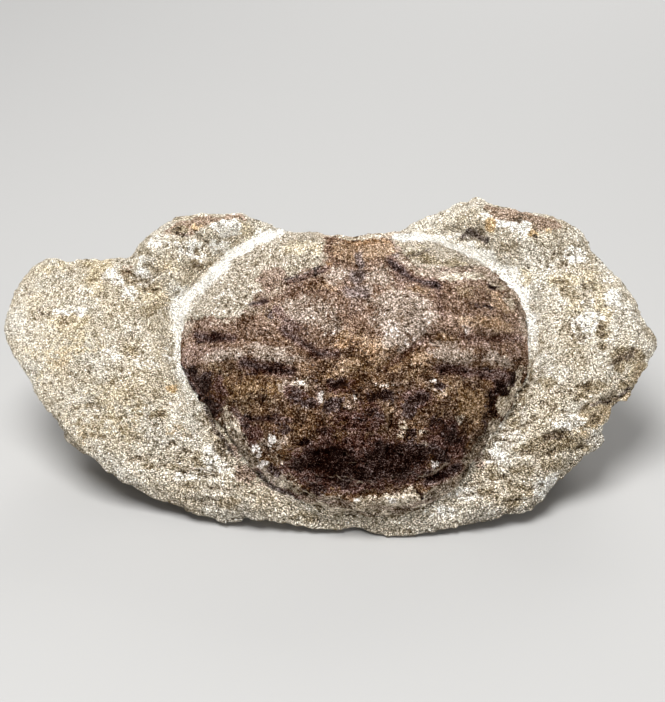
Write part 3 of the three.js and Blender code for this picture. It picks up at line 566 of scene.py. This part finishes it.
class Surface:
    """The points of a piece, in millimetres, with their normals and their places on the face."""

    def __init__(self, piece):
        self.mesh = piece.data
        self.points = self.read("vertices", "co", 3) / MM
        self.edges = self.read("edges", "vertices", 2, np.int32)
        self.neighbours = np.bincount(self.edges.ravel(), minlength=len(self.points))
        self.locate()

    def read(self, items, field, width, kind=np.float32):
        found = getattr(self.mesh, items)
        values = np.empty(len(found) * width, kind)
        found.foreach_get(field, values)
        return values.reshape(-1, width).astype(float if kind == np.float32 else kind)

    def locate(self):
        """Works out the normals and the places on the face again, after the points have moved."""
        self.mesh.vertices.foreach_set("co", (self.points * MM).astype(np.float32).ravel())
        self.mesh.update()
        self.normals = self.read("vertex_normals", "vector", 3)
        away = self.points - FACE_ORIGIN
        self.x = away[:, 0]
        self.u = away @ FACE_UP
        self.n = away @ FACE_OUT
        self.facing = self.normals @ FACE_OUT

    def wandering(self, values, seed, *waves):
        """The values with noise added, each wave as (share, size)."""
        for k, (share, size) in enumerate(waves):
            values = values + share * noise(self.points, size, seed + k)
        return values

    def neighbour_mean(self, values):
        one, other = self.edges.T
        count = len(self.points)
        sums = np.bincount(one, values[other], count) + np.bincount(other, values[one], count)
        return sums / self.neighbours

    def pulled(self, points):
        """How far each point is from the middle of its neighbours."""
        return np.stack([self.neighbour_mean(points[:, axis]) for axis in range(3)], axis=1) - points

    def smooth(self, rounds, amount):
        """Evens out bumps without shrinking the whole."""
        pull, push = 0.5, -0.53
        amount = amount[:, None]
        for _ in range(rounds):
            self.points += pull * amount * self.pulled(self.points)
            self.points += push * amount * self.pulled(self.points)
        self.locate()

    def hollows(self, rounds, depth):
        """One in hollows of that depth and minus one on crests, with sizes set by the rounds."""
        points = self.points.copy()
        for _ in range(rounds):
            points += 0.6 * self.pulled(points)
        return np.clip(np.einsum("ij,ij->i", points - self.points, self.normals) / depth, -1, 1)

    def push(self, heights):
        self.points += self.normals * heights[:, None]
        self.locate()

    def mask(self, name, values):
        layer = self.mesh.attributes.new(name, "FLOAT", "POINT")
        layer.data.foreach_set("value", np.clip(values, -1, 1).astype(np.float32))


# ---- The matrix stone ----

def stone_zones(stone):
    """Where the stone's different surfaces are, each from 0 to 1."""
    x, u = stone.x, stone.u
    front = smoothstep(-0.15, 0.25, stone.facing) * smoothstep(-9, -5, stone.n)
    outside_shell = SHELL_OUTLINE.outside(x, u)
    outside_dome = DOME_OUTLINE.outside(x, u)
    seat = front * (1 - smoothstep(-0.6, 0.2, outside_shell)) * (stone.n < 13)
    apron = front * (1 - smoothstep(-1.5, -0.2, outside_dome)) * (1 - seat)
    to_trough = np.minimum(path_distance(x, u, TROUGH_LEFT), path_distance(x, u, TROUGH_RIGHT))
    ragged = to_trough + 0.8 * layered(stone.points, 2.5, 61, 3, 0.7)
    broad = (1.25 + 0.5 * noise(stone.points, 6, 64)) * np.where(x < 0, 1, 0.8)
    broad = broad * (0.6 + 0.4 * smoothstep(0, 10, u))
    trough = front * bell(np.maximum(ragged - 0.5, 0), broad) * (1 - seat)
    upper = smoothstep(5, 14, u)
    high = np.where(x < 0, smoothstep(-12, 2, u), smoothstep(-2, 10, u))
    low_join = bell(outside_shell, 2.4) * smoothstep(-12, -18, u)
    return {
        "front": front,
        "seat": seat,
        "apron": apron,
        "trough": trough * (0.15 + 0.5 * high + 0.35 * upper),
        # hollows filled in, with little painted shade
        "filled_unshaded": front * np.maximum(bell(to_trough, 4) * high, low_join),
        "low_join": front * low_join,
        "standing": smoothstep(0.1, 1.6, stone.points[:, 2]),
    }


def roughen_join(surface):
    """Makes the line where stone and shell meet uneven, moving both pieces alike."""
    near = bell(SHELL_OUTLINE.outside(surface.x, surface.u), 1.6) * (surface.n > -6)
    along_x, along_u = (surface.wandering(0, seed, (0.75, 3.4), (0.45, 1.5)) for seed in (121, 123))
    moves = along_x[:, None] * FACE_RIGHT + along_u[:, None] * FACE_UP
    surface.points = surface.points + near[:, None] * moves
    surface.locate()


def placed_relief(stone):
    """The hollows, swells and cracks that have a place of their own, with wandering edges."""
    points = stone.points
    x = stone.x + 0.9 * layered(points, 4, 11, 3)
    u = stone.u + 0.9 * layered(points, 4, 14, 3)
    cracks = line_relief(x, u, STONE_CRACKS) * smoothstep(-0.5, 0.3, noise(points, 2.4, 17))
    return lobe_relief(x, u, STONE_HOLLOWS + STONE_SWELLS) + 0.8 * cracks


def bedding(stone):
    """Long notches along the beds of the stone, low on the face."""
    bedded = stone.points * np.array([0.32, 1, 1]) + 0.5 * noise(stone.points, 6, 31)[:, None]
    beds = -0.5 * smoothstep(0.1, 0.5, noise(bedded, 1.7, 33)) * smoothstep(6, -12, stone.u)
    return beds * (1 - 0.5 * smoothstep(-15, -35, stone.x))


def broken_relief(points):
    """Cracks, lumps and ledges of the stone behind the face."""
    cracks = -0.6 * smoothstep(0.25, 0.04, np.diff(scattered(points, 9, 41), axis=0)[0])
    cracks = cracks * smoothstep(-0.1, 0.4, noise(points, 15, 43))
    ledges = 1.1 * layered(points * np.array([0.6, 1, 1.4]), 17, 47, 4)
    return cracks + 1.1 * layered(points, 10, 45, 3) + terraced(ledges, 0.9)


def shape_stone(stone):
    edge = bell(SHELL_OUTLINE.outside(stone.x, stone.u), 1.2)
    edge = edge * (stone.facing > -0.6) * (stone.n > -8)
    stone.smooth(50, 1 - 0.85 * edge)
    roughen_join(stone)
    zones = stone_zones(stone)
    points = stone.points
    off_dome = DOME_OUTLINE.outside(stone.x, stone.u)
    clear = zones["front"] * smoothstep(0.6, 2.5, off_dome)
    rim = bell(stone.facing - 0.05, 0.35) * smoothstep(2, 6, off_dome)
    chips = -0.9 * rim * smoothstep(0.0, 0.5, layered(points, 4.5, 57, 2))
    left = smoothstep(-25, -45, stone.x) * zones["front"]
    calm = (1 - 0.6 * zones["trough"]) * (1 - 0.45 * left)
    rough = 0.5 * layered(points, 6.5, 21, 2) + 0.2 * ridged(points, 4.2, 25, 3)
    shape = (clear + 0.7 * zones["apron"]) * (placed_relief(stone) + calm * rough)
    shape = shape + clear * bedding(stone)
    shape = shape + (1 - zones["front"]) * broken_relief(points) + chips
    pits = -0.22 * smoothstep(0.4, 0.7, noise(points, 1.5, 51)) * calm * (1 - 0.6 * left)
    grain = calm * (0.17 * noise(points, 0.95, 53) + 0.13 * noise(points, 0.6, 55))
    filled = 0.7 * zones["filled_unshaded"] * smoothstep(4, 14, stone.u) + 0.4 * zones["low_join"]
    visible = (1 - zones["seat"]) * zones["standing"]
    stone.push(visible * (shape + pits + grain + filled - 0.1))
    keep_in_box(stone, "matrix")


def keep_in_box(surface, node):
    low, high = (np.array(corner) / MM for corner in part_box(node))
    surface.points = np.clip(surface.points, low, high - BOX_SLACK)
    surface.locate()


def mark_stone(stone):
    zones = stone_zones(stone)
    x = stone.wandering(stone.x, 71, (0.7, 3), (0.6, 1.2))
    u = stone.wandering(stone.u, 73, (0.7, 3), (0.6, 1.2))
    over_crest = smoothstep(24, 27, stone.u) * smoothstep(-16, -10, stone.n)
    for name, patches in STONE_MARKS.items():
        stone.mask(name, np.maximum(zones["front"], over_crest) * marking(x, u, patches))
    for name in ("trough", "filled_unshaded", "apron"):
        stone.mask(name, zones[name])
    stone.mask("behind", 1 - zones["front"])
    stone.mask("left", smoothstep(-25, -48, stone.x))
    stone.mask("low", smoothstep(2, -26, stone.u))
    stone.mask("rim_painted_light", zones["front"] * bell(path_distance(x, u, RIM_PAINTED_LIGHT), 3.5))
    join = bell(SHELL_OUTLINE.outside(x, u), 1.4) * smoothstep(5, 9, u)
    stone.mask("join", 0.7 * zones["apron"] * join)
    near_x = stone.wandering(stone.x, 75, (0.3, 1.2))
    near_u = stone.wandering(stone.u, 76, (0.3, 1.2))
    lines = -line_relief(near_x, near_u, STONE_LINES)
    # Painted shadow lines, with the two dark fibres.
    stone.mask("crease", np.maximum(crease(stone), lines) * zones["front"])
    stone.mask("brow", marking(x, u, [(0.4, 25, 6.4, 3, 1)]) * (stone.n > -12))
    mark_hollows(stone)


def crease(surface):
    """The painted shadow line in the crease along the shell's back edge, broken in places."""
    x = surface.wandering(surface.x, 132, (0.4, 2))
    u = surface.wandering(surface.u, 133, (0.4, 2))
    strong = 0.3 + 0.7 * smoothstep(-6, -14, surface.x)
    unbroken = smoothstep(-0.55, 0.0, noise(surface.points, 4, 131))
    return strong * bell(path_distance(x, u, CREASE_SHADOW), 0.42) * unbroken


# Masks of hollows at three sizes, which the materials darken with painted shade.
def mark_hollows(surface):
    for name, rounds, depth in (("hollow", 3, 0.07), ("dip", 24, 0.35), ("valley", 110, 0.8)):
        surface.mask(name, surface.hollows(rounds, depth))


# ---- The carapace ----

def shape_shell(shell):
    outside = SHELL_OUTLINE.outside(shell.x, shell.u)
    edge = bell(outside, 0.8)
    shell.smooth(50, 1 - 0.7 * edge)
    roughen_join(shell)
    points = shell.points
    top = smoothstep(0.1, 0.45, shell.facing)
    side = 1 - np.abs(shell.facing)
    x = shell.wandering(shell.x, 81, (0.45, 3), (0.2, 1.1))
    u = shell.wandering(shell.u, 83, (0.45, 3), (0.2, 1.1))
    features = lobe_relief(x, u, SHELL_LOBES + SHELL_PITS)
    features = features + line_relief(x, u, SHELL_GROOVES + SHELL_RIDGES)
    granules = 0.22 * (0.45 - scattered(points, 1.15, 91)[0])
    granules = granules * smoothstep(-0.1, 0.3, noise(points, 5, 93))
    flaked = -0.2 * flaking(points)
    rough = 0.27 * layered(points, 3.4, 97, 3)
    rough = rough + 0.12 * noise(points, 0.8, 101) + 0.08 * noise(points, 0.5, 103)
    pits = -0.35 * smoothstep(0.36, 0.55, noise(points, 1.3, 105))
    left_front = bell(np.hypot(shell.x + 25, shell.u - 8), 5)
    join = (0.6 + 0.5 * left_front) * side * bell(outside, 1.2) * smoothstep(-0.35, 0.1, shell.facing)
    shell.push(top * (features + granules + flaked + rough + pits) + join)
    keep_in_box(shell, "carapace")


def flaking(points):
    """Where a thin layer has come off the shell, from 0 to 1."""
    return smoothstep(0.03, 0.09, layered(points, 5, 95, 4, 0.6))


def mark_shell(shell):
    x = shell.wandering(shell.x, 111, (0.8, 3.2), (0.6, 1.2))
    u = shell.wandering(shell.u, 113, (0.7, 3.2), (0.5, 1.2))
    for name, patches in SHELL_MARKS.items():
        shell.mask(name, marking(x, u, patches))
    join = bell(SHELL_OUTLINE.outside(x, u), 1.1) * smoothstep(5, 8, u)
    shell.mask("dusted", join * (shell.u < 20))
    inside = -SHELL_OUTLINE.outside(x, u)
    shell.mask("margin", (1 - smoothstep(0.3, 1.9, inside)) * smoothstep(-7, -11, shell.u))
    # A down-facing wall low at the shell's back: pale stone colour, lighter still as painted light against
    # its shade.
    shell.mask("wall_painted_light", (1 - smoothstep(0.1, 0.6, shell.facing)) * smoothstep(-13, -18, shell.u))
    # Upper part of the shell: lighter than the rear, partly its own colour, partly painted shade on the
    # rear that turns from the light.
    shell.mask("front", smoothstep(-4, 7, shell.u + 2 * layered(shell.points, 5, 117, 2)))
    near_x = shell.wandering(shell.x, 115, (0.35, 1.4))
    near_u = shell.wandering(shell.u, 116, (0.35, 1.4))
    shell.mask("groove", -line_relief(near_x, near_u, DARK_GROOVES))
    shell.mask("crease", crease(shell))
    flaked = flaking(shell.points)
    shell.mask("flaked", flaked)
    shell.mask("flake_rim", 4 * flaked * (1 - flaked))
    mark_hollows(shell)


# ---- Materials ----

SCREEN_GAMMA = 2.2
SHADE_WARMTH = (0.98, 1.0, 1.05)  # darker grains are browner, lighter ones whiter
DARKEST = (0.05, 0.01, 0.003)


class Shader:
    """Short ways to make nodes. A value may be a number, a colour or another node's output."""

    def __init__(self, name):
        self.material = bpy.data.materials.new(name)
        self.material.use_nodes = True
        self.nodes = self.material.node_tree.nodes
        self.links = self.material.node_tree.links
        self.surface = self.nodes["Principled BSDF"]
        place = self.add("ShaderNodeTexCoord").outputs["Object"]
        scale = self.add("ShaderNodeVectorMath", {"Vector": place, "Scale": 1 / MM}, operation="SCALE")
        self.place = scale.outputs["Vector"]

    def feed(self, node, inputs):
        for key, value in inputs.items():
            if isinstance(value, bpy.types.NodeSocket):
                self.links.new(value, node.inputs[key])
            else:
                node.inputs[key].default_value = value

    def add(self, kind, inputs=None, **settings):
        node = self.nodes.new(kind)
        for name, value in settings.items():
            setattr(node, name, value)
        self.feed(node, inputs or {})
        return node

    def shifted(self, seed, stretch=(1, 1, 1)):
        shift = (13.7 * seed, 7.9 * seed, 3.1 * seed)
        inputs = {"Vector": self.place, "Location": shift, "Scale": stretch}
        return self.add("ShaderNodeMapping", inputs).outputs["Vector"]

    def noise(self, size, seed, detail=2, roughness=0.6, stretch=(1, 1, 1)):
        """Noise with lumps of the given size in millimetres, about 0 to 1."""
        inputs = {"Scale": 1 / size, "Detail": detail, "Roughness": roughness}
        inputs["Vector"] = self.shifted(seed, stretch)
        return self.add("ShaderNodeTexNoise", inputs).outputs["Fac"]

    def grains(self, size, seed):
        """A random number for each grain of the given size, and the distance from its middle."""
        cells = self.add("ShaderNodeTexVoronoi", {"Vector": self.shifted(seed), "Scale": 1 / size})
        parts = self.add("ShaderNodeSeparateColor", {"Color": cells.outputs["Color"]})
        return parts.outputs["Red"], cells.outputs["Distance"]

    def mask(self, name):
        return self.add("ShaderNodeAttribute", attribute_name=name).outputs["Fac"]

    def math(self, operation, *values):
        return self.add("ShaderNodeMath", dict(enumerate(values)), operation=operation).outputs[0]

    def total(self, *parts):
        """The sum of values, each times its weight."""
        total = 0.0
        for value, weight in parts:
            total = self.math("MULTIPLY_ADD", value, weight, total)
        return total

    def ramp(self, value, low, high, start=0.0, end=1.0):
        inputs = {"Value": value, "From Min": low, "From Max": high, "To Min": start, "To Max": end}
        return self.add("ShaderNodeMapRange", inputs, interpolation_type="SMOOTHSTEP").outputs["Result"]

    def mix(self, share, one, other):
        inputs = {"Factor": share, "A": one, "B": other}
        node = self.add("ShaderNodeMix", inputs, data_type="RGBA", clamp_factor=True)
        return next(socket for socket in node.outputs if socket.type == "RGBA")

    def speckled(self, mask, grain, spread):
        """A mask that fills a patch grain by grain instead of evenly."""
        offset = self.math("MULTIPLY_ADD", grain, spread, -spread / 2)
        present = self.math("MULTIPLY", self.math("ADD", mask, offset), self.ramp(mask, 0.0, 0.12))
        return self.ramp(present, 0.3, 0.65)

    def layered(self, base, grain, spread, tints):
        """Each marking's colour over the ones before it, where its mask is."""
        for name, colour in tints.items():
            base = self.mix(self.speckled(self.mask(name), grain, spread), base, colour)
        return base

    def bump(self, height, distance):
        node = self.add("ShaderNodeBump", {"Height": height, "Distance": distance * MM})
        self.feed(self.surface, {"Normal": node.outputs["Normal"]})

    def colour(self, base, shade):
        """The base made lighter or darker by a shade, in steps as they look on a screen."""
        inputs = {0: shade, 1: SHADE_WARMTH, 2: base}
        shaded = self.add("ShaderNodeVectorMath", inputs, operation="MULTIPLY_ADD")
        inputs = {0: shaded.outputs["Vector"], 1: DARKEST}
        kept = self.add("ShaderNodeVectorMath", inputs, operation="MAXIMUM")
        inputs = {"Color": kept.outputs["Vector"], "Gamma": SCREEN_GAMMA}
        self.feed(self.surface, {"Base Color": self.add("ShaderNodeGamma", inputs).outputs["Color"]})
        return self.material


def tint(red, green, blue):
    """A colour given as it looks on a screen, 0 to 255."""
    return (red / 255, green / 255, blue / 255, 1)


def speckle(shader, stretch=(1, 1, 1)):
    """Uneven grain about nought, the noise that markings break up with, and a bump's height."""
    grain, away = shader.grains(0.24, 1)
    pits = shader.ramp(away, 0.1, 0.5)
    fine = shader.noise(0.14, 2, detail=1, stretch=stretch)
    clumps = shader.noise(0.6, 3, stretch=stretch)
    patches = shader.noise(4, 4, detail=5, roughness=0.65)
    parts = ((grain, 0.38), (pits, 0.4), (fine, 2.7), (clumps, 0.45), (patches, 0.45))
    middle = 0.5 * sum(weight for _, weight in parts) + 0.12
    tone = shader.total(*parts, (1.0, -middle))
    mottled = shader.total((fine, 0.08), (clumps, 0.37), (patches, 0.55))
    bump = shader.total((fine, 1.0), (pits, 0.5))
    return tone, mottled, bump


def curls(shader, size, seed, thickness):
    """Thin curled lines, one on a line and nought off it."""
    from_middle = shader.math("SUBTRACT", shader.noise(size, seed, detail=1), 0.5)
    return shader.ramp(shader.math("ABSOLUTE", from_middle), 0.0, thickness, 1.0, 0.0)


def stone_base(shader, mottled):
    """The stone's colours before light and dark grains."""
    broad = shader.ramp(shader.noise(7, 5, detail=3), 0.35, 0.65)
    base = shader.mix(broad, tint(204, 195, 178), tint(190, 176, 151))
    base = shader.mix(shader.mask("apron"), base, tint(176, 163, 142))
    weathered = shader.ramp(shader.noise(15, 6, detail=4), 0.42, 0.6)
    behind = shader.mix(weathered, tint(186, 170, 143), tint(152, 133, 104))
    base = shader.mix(shader.mask("behind"), base, behind)
    base = shader.layered(base, mottled, 3.5, {
        "yellow": tint(194, 178, 146),
        "ochre": tint(174, 152, 116),
        "white": tint(238, 233, 223),
        "join": tint(140, 115, 95),
        # painted shadow beside the shell
        "shadow_by_shell": tint(138, 113, 92),
        "brown": tint(141, 115, 90),
        # olive is partly painted shade and dark is painted shade, in crevices and hollows
        "olive": tint(138, 121, 90),
        "rust": tint(188, 156, 108),
        "dark": tint(62, 43, 18),
    })
    base = shader.mix(shader.mask("brow"), base, tint(190, 166, 138))
    # Painted shadow along the crease, the shell's front edge, pits and cracks, in one dark colour with the
    # two fibres.
    crease = shader.ramp(shader.mask("crease"), 0.1, 0.9, 0.0, 0.85)
    base = shader.mix(crease, base, tint(66, 50, 40))
    ragged = shader.total((shader.mask("trough"), 1.0), (mottled, 1.4), (1.0, -0.7))
    return shader.mix(shader.ramp(ragged, 0.05, 0.75, 0.0, 0.9), base, tint(252, 249, 242))


def stone_material():
    shader = Shader("matrix stone")
    shader.feed(shader.surface, {"Roughness": 0.9, "Specular IOR Level": 0.2})
    tone, mottled, bump = speckle(shader, stretch=(0.65, 1, 1))
    base = stone_base(shader, mottled)
    left, low = shader.mask("left"), shader.mask("low")
    contrast = shader.total((left, -0.2), (low, 0.25), (shader.mask("behind"), -0.2), (1.0, 1.0))
    calm = shader.ramp(shader.mask("trough"), 0.1, 0.8, 1.0, 0.85)
    grain = shader.math("MULTIPLY", shader.math("MULTIPLY", tone, contrast), calm)
    lines = curls(shader, 0.38, 21, 0.05)
    # Painted shade darkens the lower stone, and painted light lightens the left wing's edge.
    level = shader.total((left, 0.005), (low, -0.1), (shader.mask("rim_painted_light"), 0.085), (1.0, -0.04))
    shade = shader.total((grain, 1.0), (level, 1.0), (lines, -0.3))
    # Hollows, dips and valleys get a brown tint of dirt and painted shade, both much weaker in the filled
    # zone by the trough and along the low join.
    hollow_shade_share = shader.ramp(shader.mask("filled_unshaded"), 0.0, 0.7, 1.0, 0.1)
    for name, share, depth in (("hollow", 0.2, -0.12), ("dip", 0.35, -0.07), ("valley", 0.4, -0.05)):
        sunk = shader.math("MULTIPLY", shader.ramp(shader.mask(name), 0.0, 0.8), hollow_shade_share)
        base = shader.mix(shader.math("MULTIPLY", sunk, share), base, tint(142, 123, 96))
        shade = shader.total((shade, 1.0), (sunk, depth))
    shader.bump(bump, 0.17)
    return shader.colour(base, shade)


def shell_base(shader, mottled):
    """The shell's colours before light and dark grains."""
    blotch = shader.ramp(shader.noise(2.4, 8, detail=3), 0.35, 0.65)
    base = shader.mix(blotch, tint(66, 40, 17), tint(94, 63, 30))
    # The rear darker than the front: partly the shell's own colour, partly painted shade.
    base = shader.mix(shader.mask("front"), base, tint(113, 84, 60))
    base = shader.layered(base, mottled, 4.5, {
        "olive": tint(104, 79, 46),
        "bronze": tint(96, 65, 27),
        "tan": tint(146, 116, 84),
        "orange": tint(136, 100, 62),
        "pink": tint(128, 100, 82),
        "grey": tint(131, 111, 91),
        "red": tint(64, 33, 19),
        "margin": tint(112, 95, 74),
        "stone": tint(184, 169, 146),
        "dusted": tint(142, 121, 99),
        "dark": tint(34, 14, 4),
        "fleck": tint(200, 192, 184),
    })
    purple = shader.ramp(shader.mask("purple"), 0.1, 0.9, 0.0, 0.85)
    base = shader.mix(purple, base, tint(108, 90, 82))
    # Painted light: the down-facing wall made pale.
    base = shader.mix(shader.mask("wall_painted_light"), base, tint(204, 190, 166))
    # Painted shade: a reddish-brown halo and a darker core along the dark grooves and the crease.
    for name, deepest in (("groove", tint(50, 30, 22)), ("crease", tint(36, 20, 14))):
        line = shader.mask(name)
        base = shader.mix(shader.ramp(line, 0.05, 0.6, 0.0, 0.8), base, tint(92, 62, 48))
        base = shader.mix(shader.ramp(line, 0.5, 1.0, 0.0, 0.9), base, deepest)
    return base


def shell_glints(shader, mottled):
    """Painted highlights: thin pale curled glints, most of them where the shell is grey."""
    curled = shader.math("MAXIMUM", curls(shader, 0.42, 22, 0.045), curls(shader, 1.1, 23, 0.035))
    glint_share = shader.total((shader.ramp(mottled, 0.42, 0.58), 0.6), (shader.mask("grey"), 0.6))
    return shader.math("MULTIPLY", curled, glint_share)


def shell_streaks(shader):
    """Light and dark streaks across the rear of the shell."""
    rear = shader.math("SUBTRACT", 1.0, shader.mask("front"))
    streaks = shader.noise(0.6, 24, stretch=(0.22, 1, 1))
    return shader.math("MULTIPLY", shader.math("SUBTRACT", streaks, 0.5), rear)


def shell_material():
    shader = Shader("fossil shell")
    tone, mottled, bump = speckle(shader)
    base = shell_base(shader, mottled)
    front, red = shader.mask("front"), shader.mask("red")
    deep = shader.ramp(shader.mask("dark"), 0.2, 0.9)
    contrast = shader.total((1.0, 0.94), (front, 0.12), (deep, -0.15), (red, -0.1))
    shade = shader.total(
        (shader.math("MULTIPLY", tone, contrast), 1.0),
        (shader.mask("flaked"), -0.07),
        (shader.mask("flake_rim"), 0.07),
        (shell_glints(shader, mottled), 0.38),
        (deep, -0.07),
        (red, -0.03),
        (shell_streaks(shader), 0.6),
        (1.0, -0.078),
    )
    # Painted shade in hollows, dips and valleys.
    for name, depth in (("hollow", -0.12), ("dip", -0.1), ("valley", -0.06)):
        sunk = shader.ramp(shader.mask(name), 0.05, 1.0, 0.0, depth)
        shade = shader.total((shade, 1.0), (sunk, 1.0))
    shader.bump(bump, 0.15)
    shader.feed(shader.surface, {
        "Roughness": shader.ramp(mottled, 0.4, 0.6, 0.5, 0.8),
        "Specular IOR Level": 0.015,
        "Specular Tint": tint(255, 190, 150),
    })
    return shader.colour(base, shade)


# ---- Pieces ----

def build_piece(node, name, voxel, most, shape, mark, material):
    piece = fine_copy(node, name, voxel)
    shape(Surface(piece))
    thin_out(piece, most)
    mark(Surface(piece))
    piece.data.shade_smooth()
    piece.data.materials.append(material)
    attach(piece, "root")
    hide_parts(node)
    return piece


def build_floor():
    bpy.ops.mesh.primitive_plane_add(size=FLOOR_SIZE * MM)
    floor = bpy.context.object
    floor.name = "floor"
    material = bpy.data.materials.new("pale floor")
    material.use_nodes = True
    surface = material.node_tree.nodes["Principled BSDF"]
    surface.inputs["Base Color"].default_value = FLOOR_COLOUR
    surface.inputs["Roughness"].default_value = 0.9
    floor.data.materials.append(material)


def build_camera():
    lens = bpy.data.cameras.new("camera")
    lens.lens = CAMERA["lens"]
    lens.clip_start = CAMERA["nearest"] * MM
    camera = bpy.data.objects.new("camera", lens)
    camera.location = [value * MM for value in CAMERA["place"]]
    camera.rotation_euler = (math.radians(90 - CAMERA["elevation"]), 0, 0)
    bpy.context.collection.objects.link(camera)
    bpy.context.scene.camera = camera


def build_light(name, light):
    lamp = bpy.data.lights.new(name, "AREA")
    lamp.size = light["size"] * MM
    lamp.energy = light["power"]
    holder = bpy.data.objects.new(name, lamp)
    place = np.array(light["place"]) * MM
    holder.location = place
    away = place - np.array(LIGHTS_AIM) * MM
    tilt = math.atan2(math.hypot(away[0], away[1]), away[2])
    holder.rotation_euler = (tilt, 0, math.atan2(away[1], away[0]) + math.pi / 2)
    bpy.context.collection.objects.link(holder)


def build_sky():
    world = bpy.data.worlds.new("sky")
    world.use_nodes = True
    background = world.node_tree.nodes["Background"]
    background.inputs["Color"].default_value = (1, 1, 1, 1)
    background.inputs["Strength"].default_value = SKY_STRENGTH
    bpy.context.scene.world = world


build_camera()
for name, light in LIGHTS.items():
    build_light(name, light)
build_sky()
build_floor()
bpy.context.scene.view_settings.view_transform = "Standard"

build_piece("matrix", "matrix_stone", STONE_VOXEL, STONE_FACES,
            shape_stone, mark_stone, stone_material())
build_piece("carapace", "crab_carapace", SHELL_VOXEL, SHELL_FACES,
            shape_shell, mark_shell, shell_material())
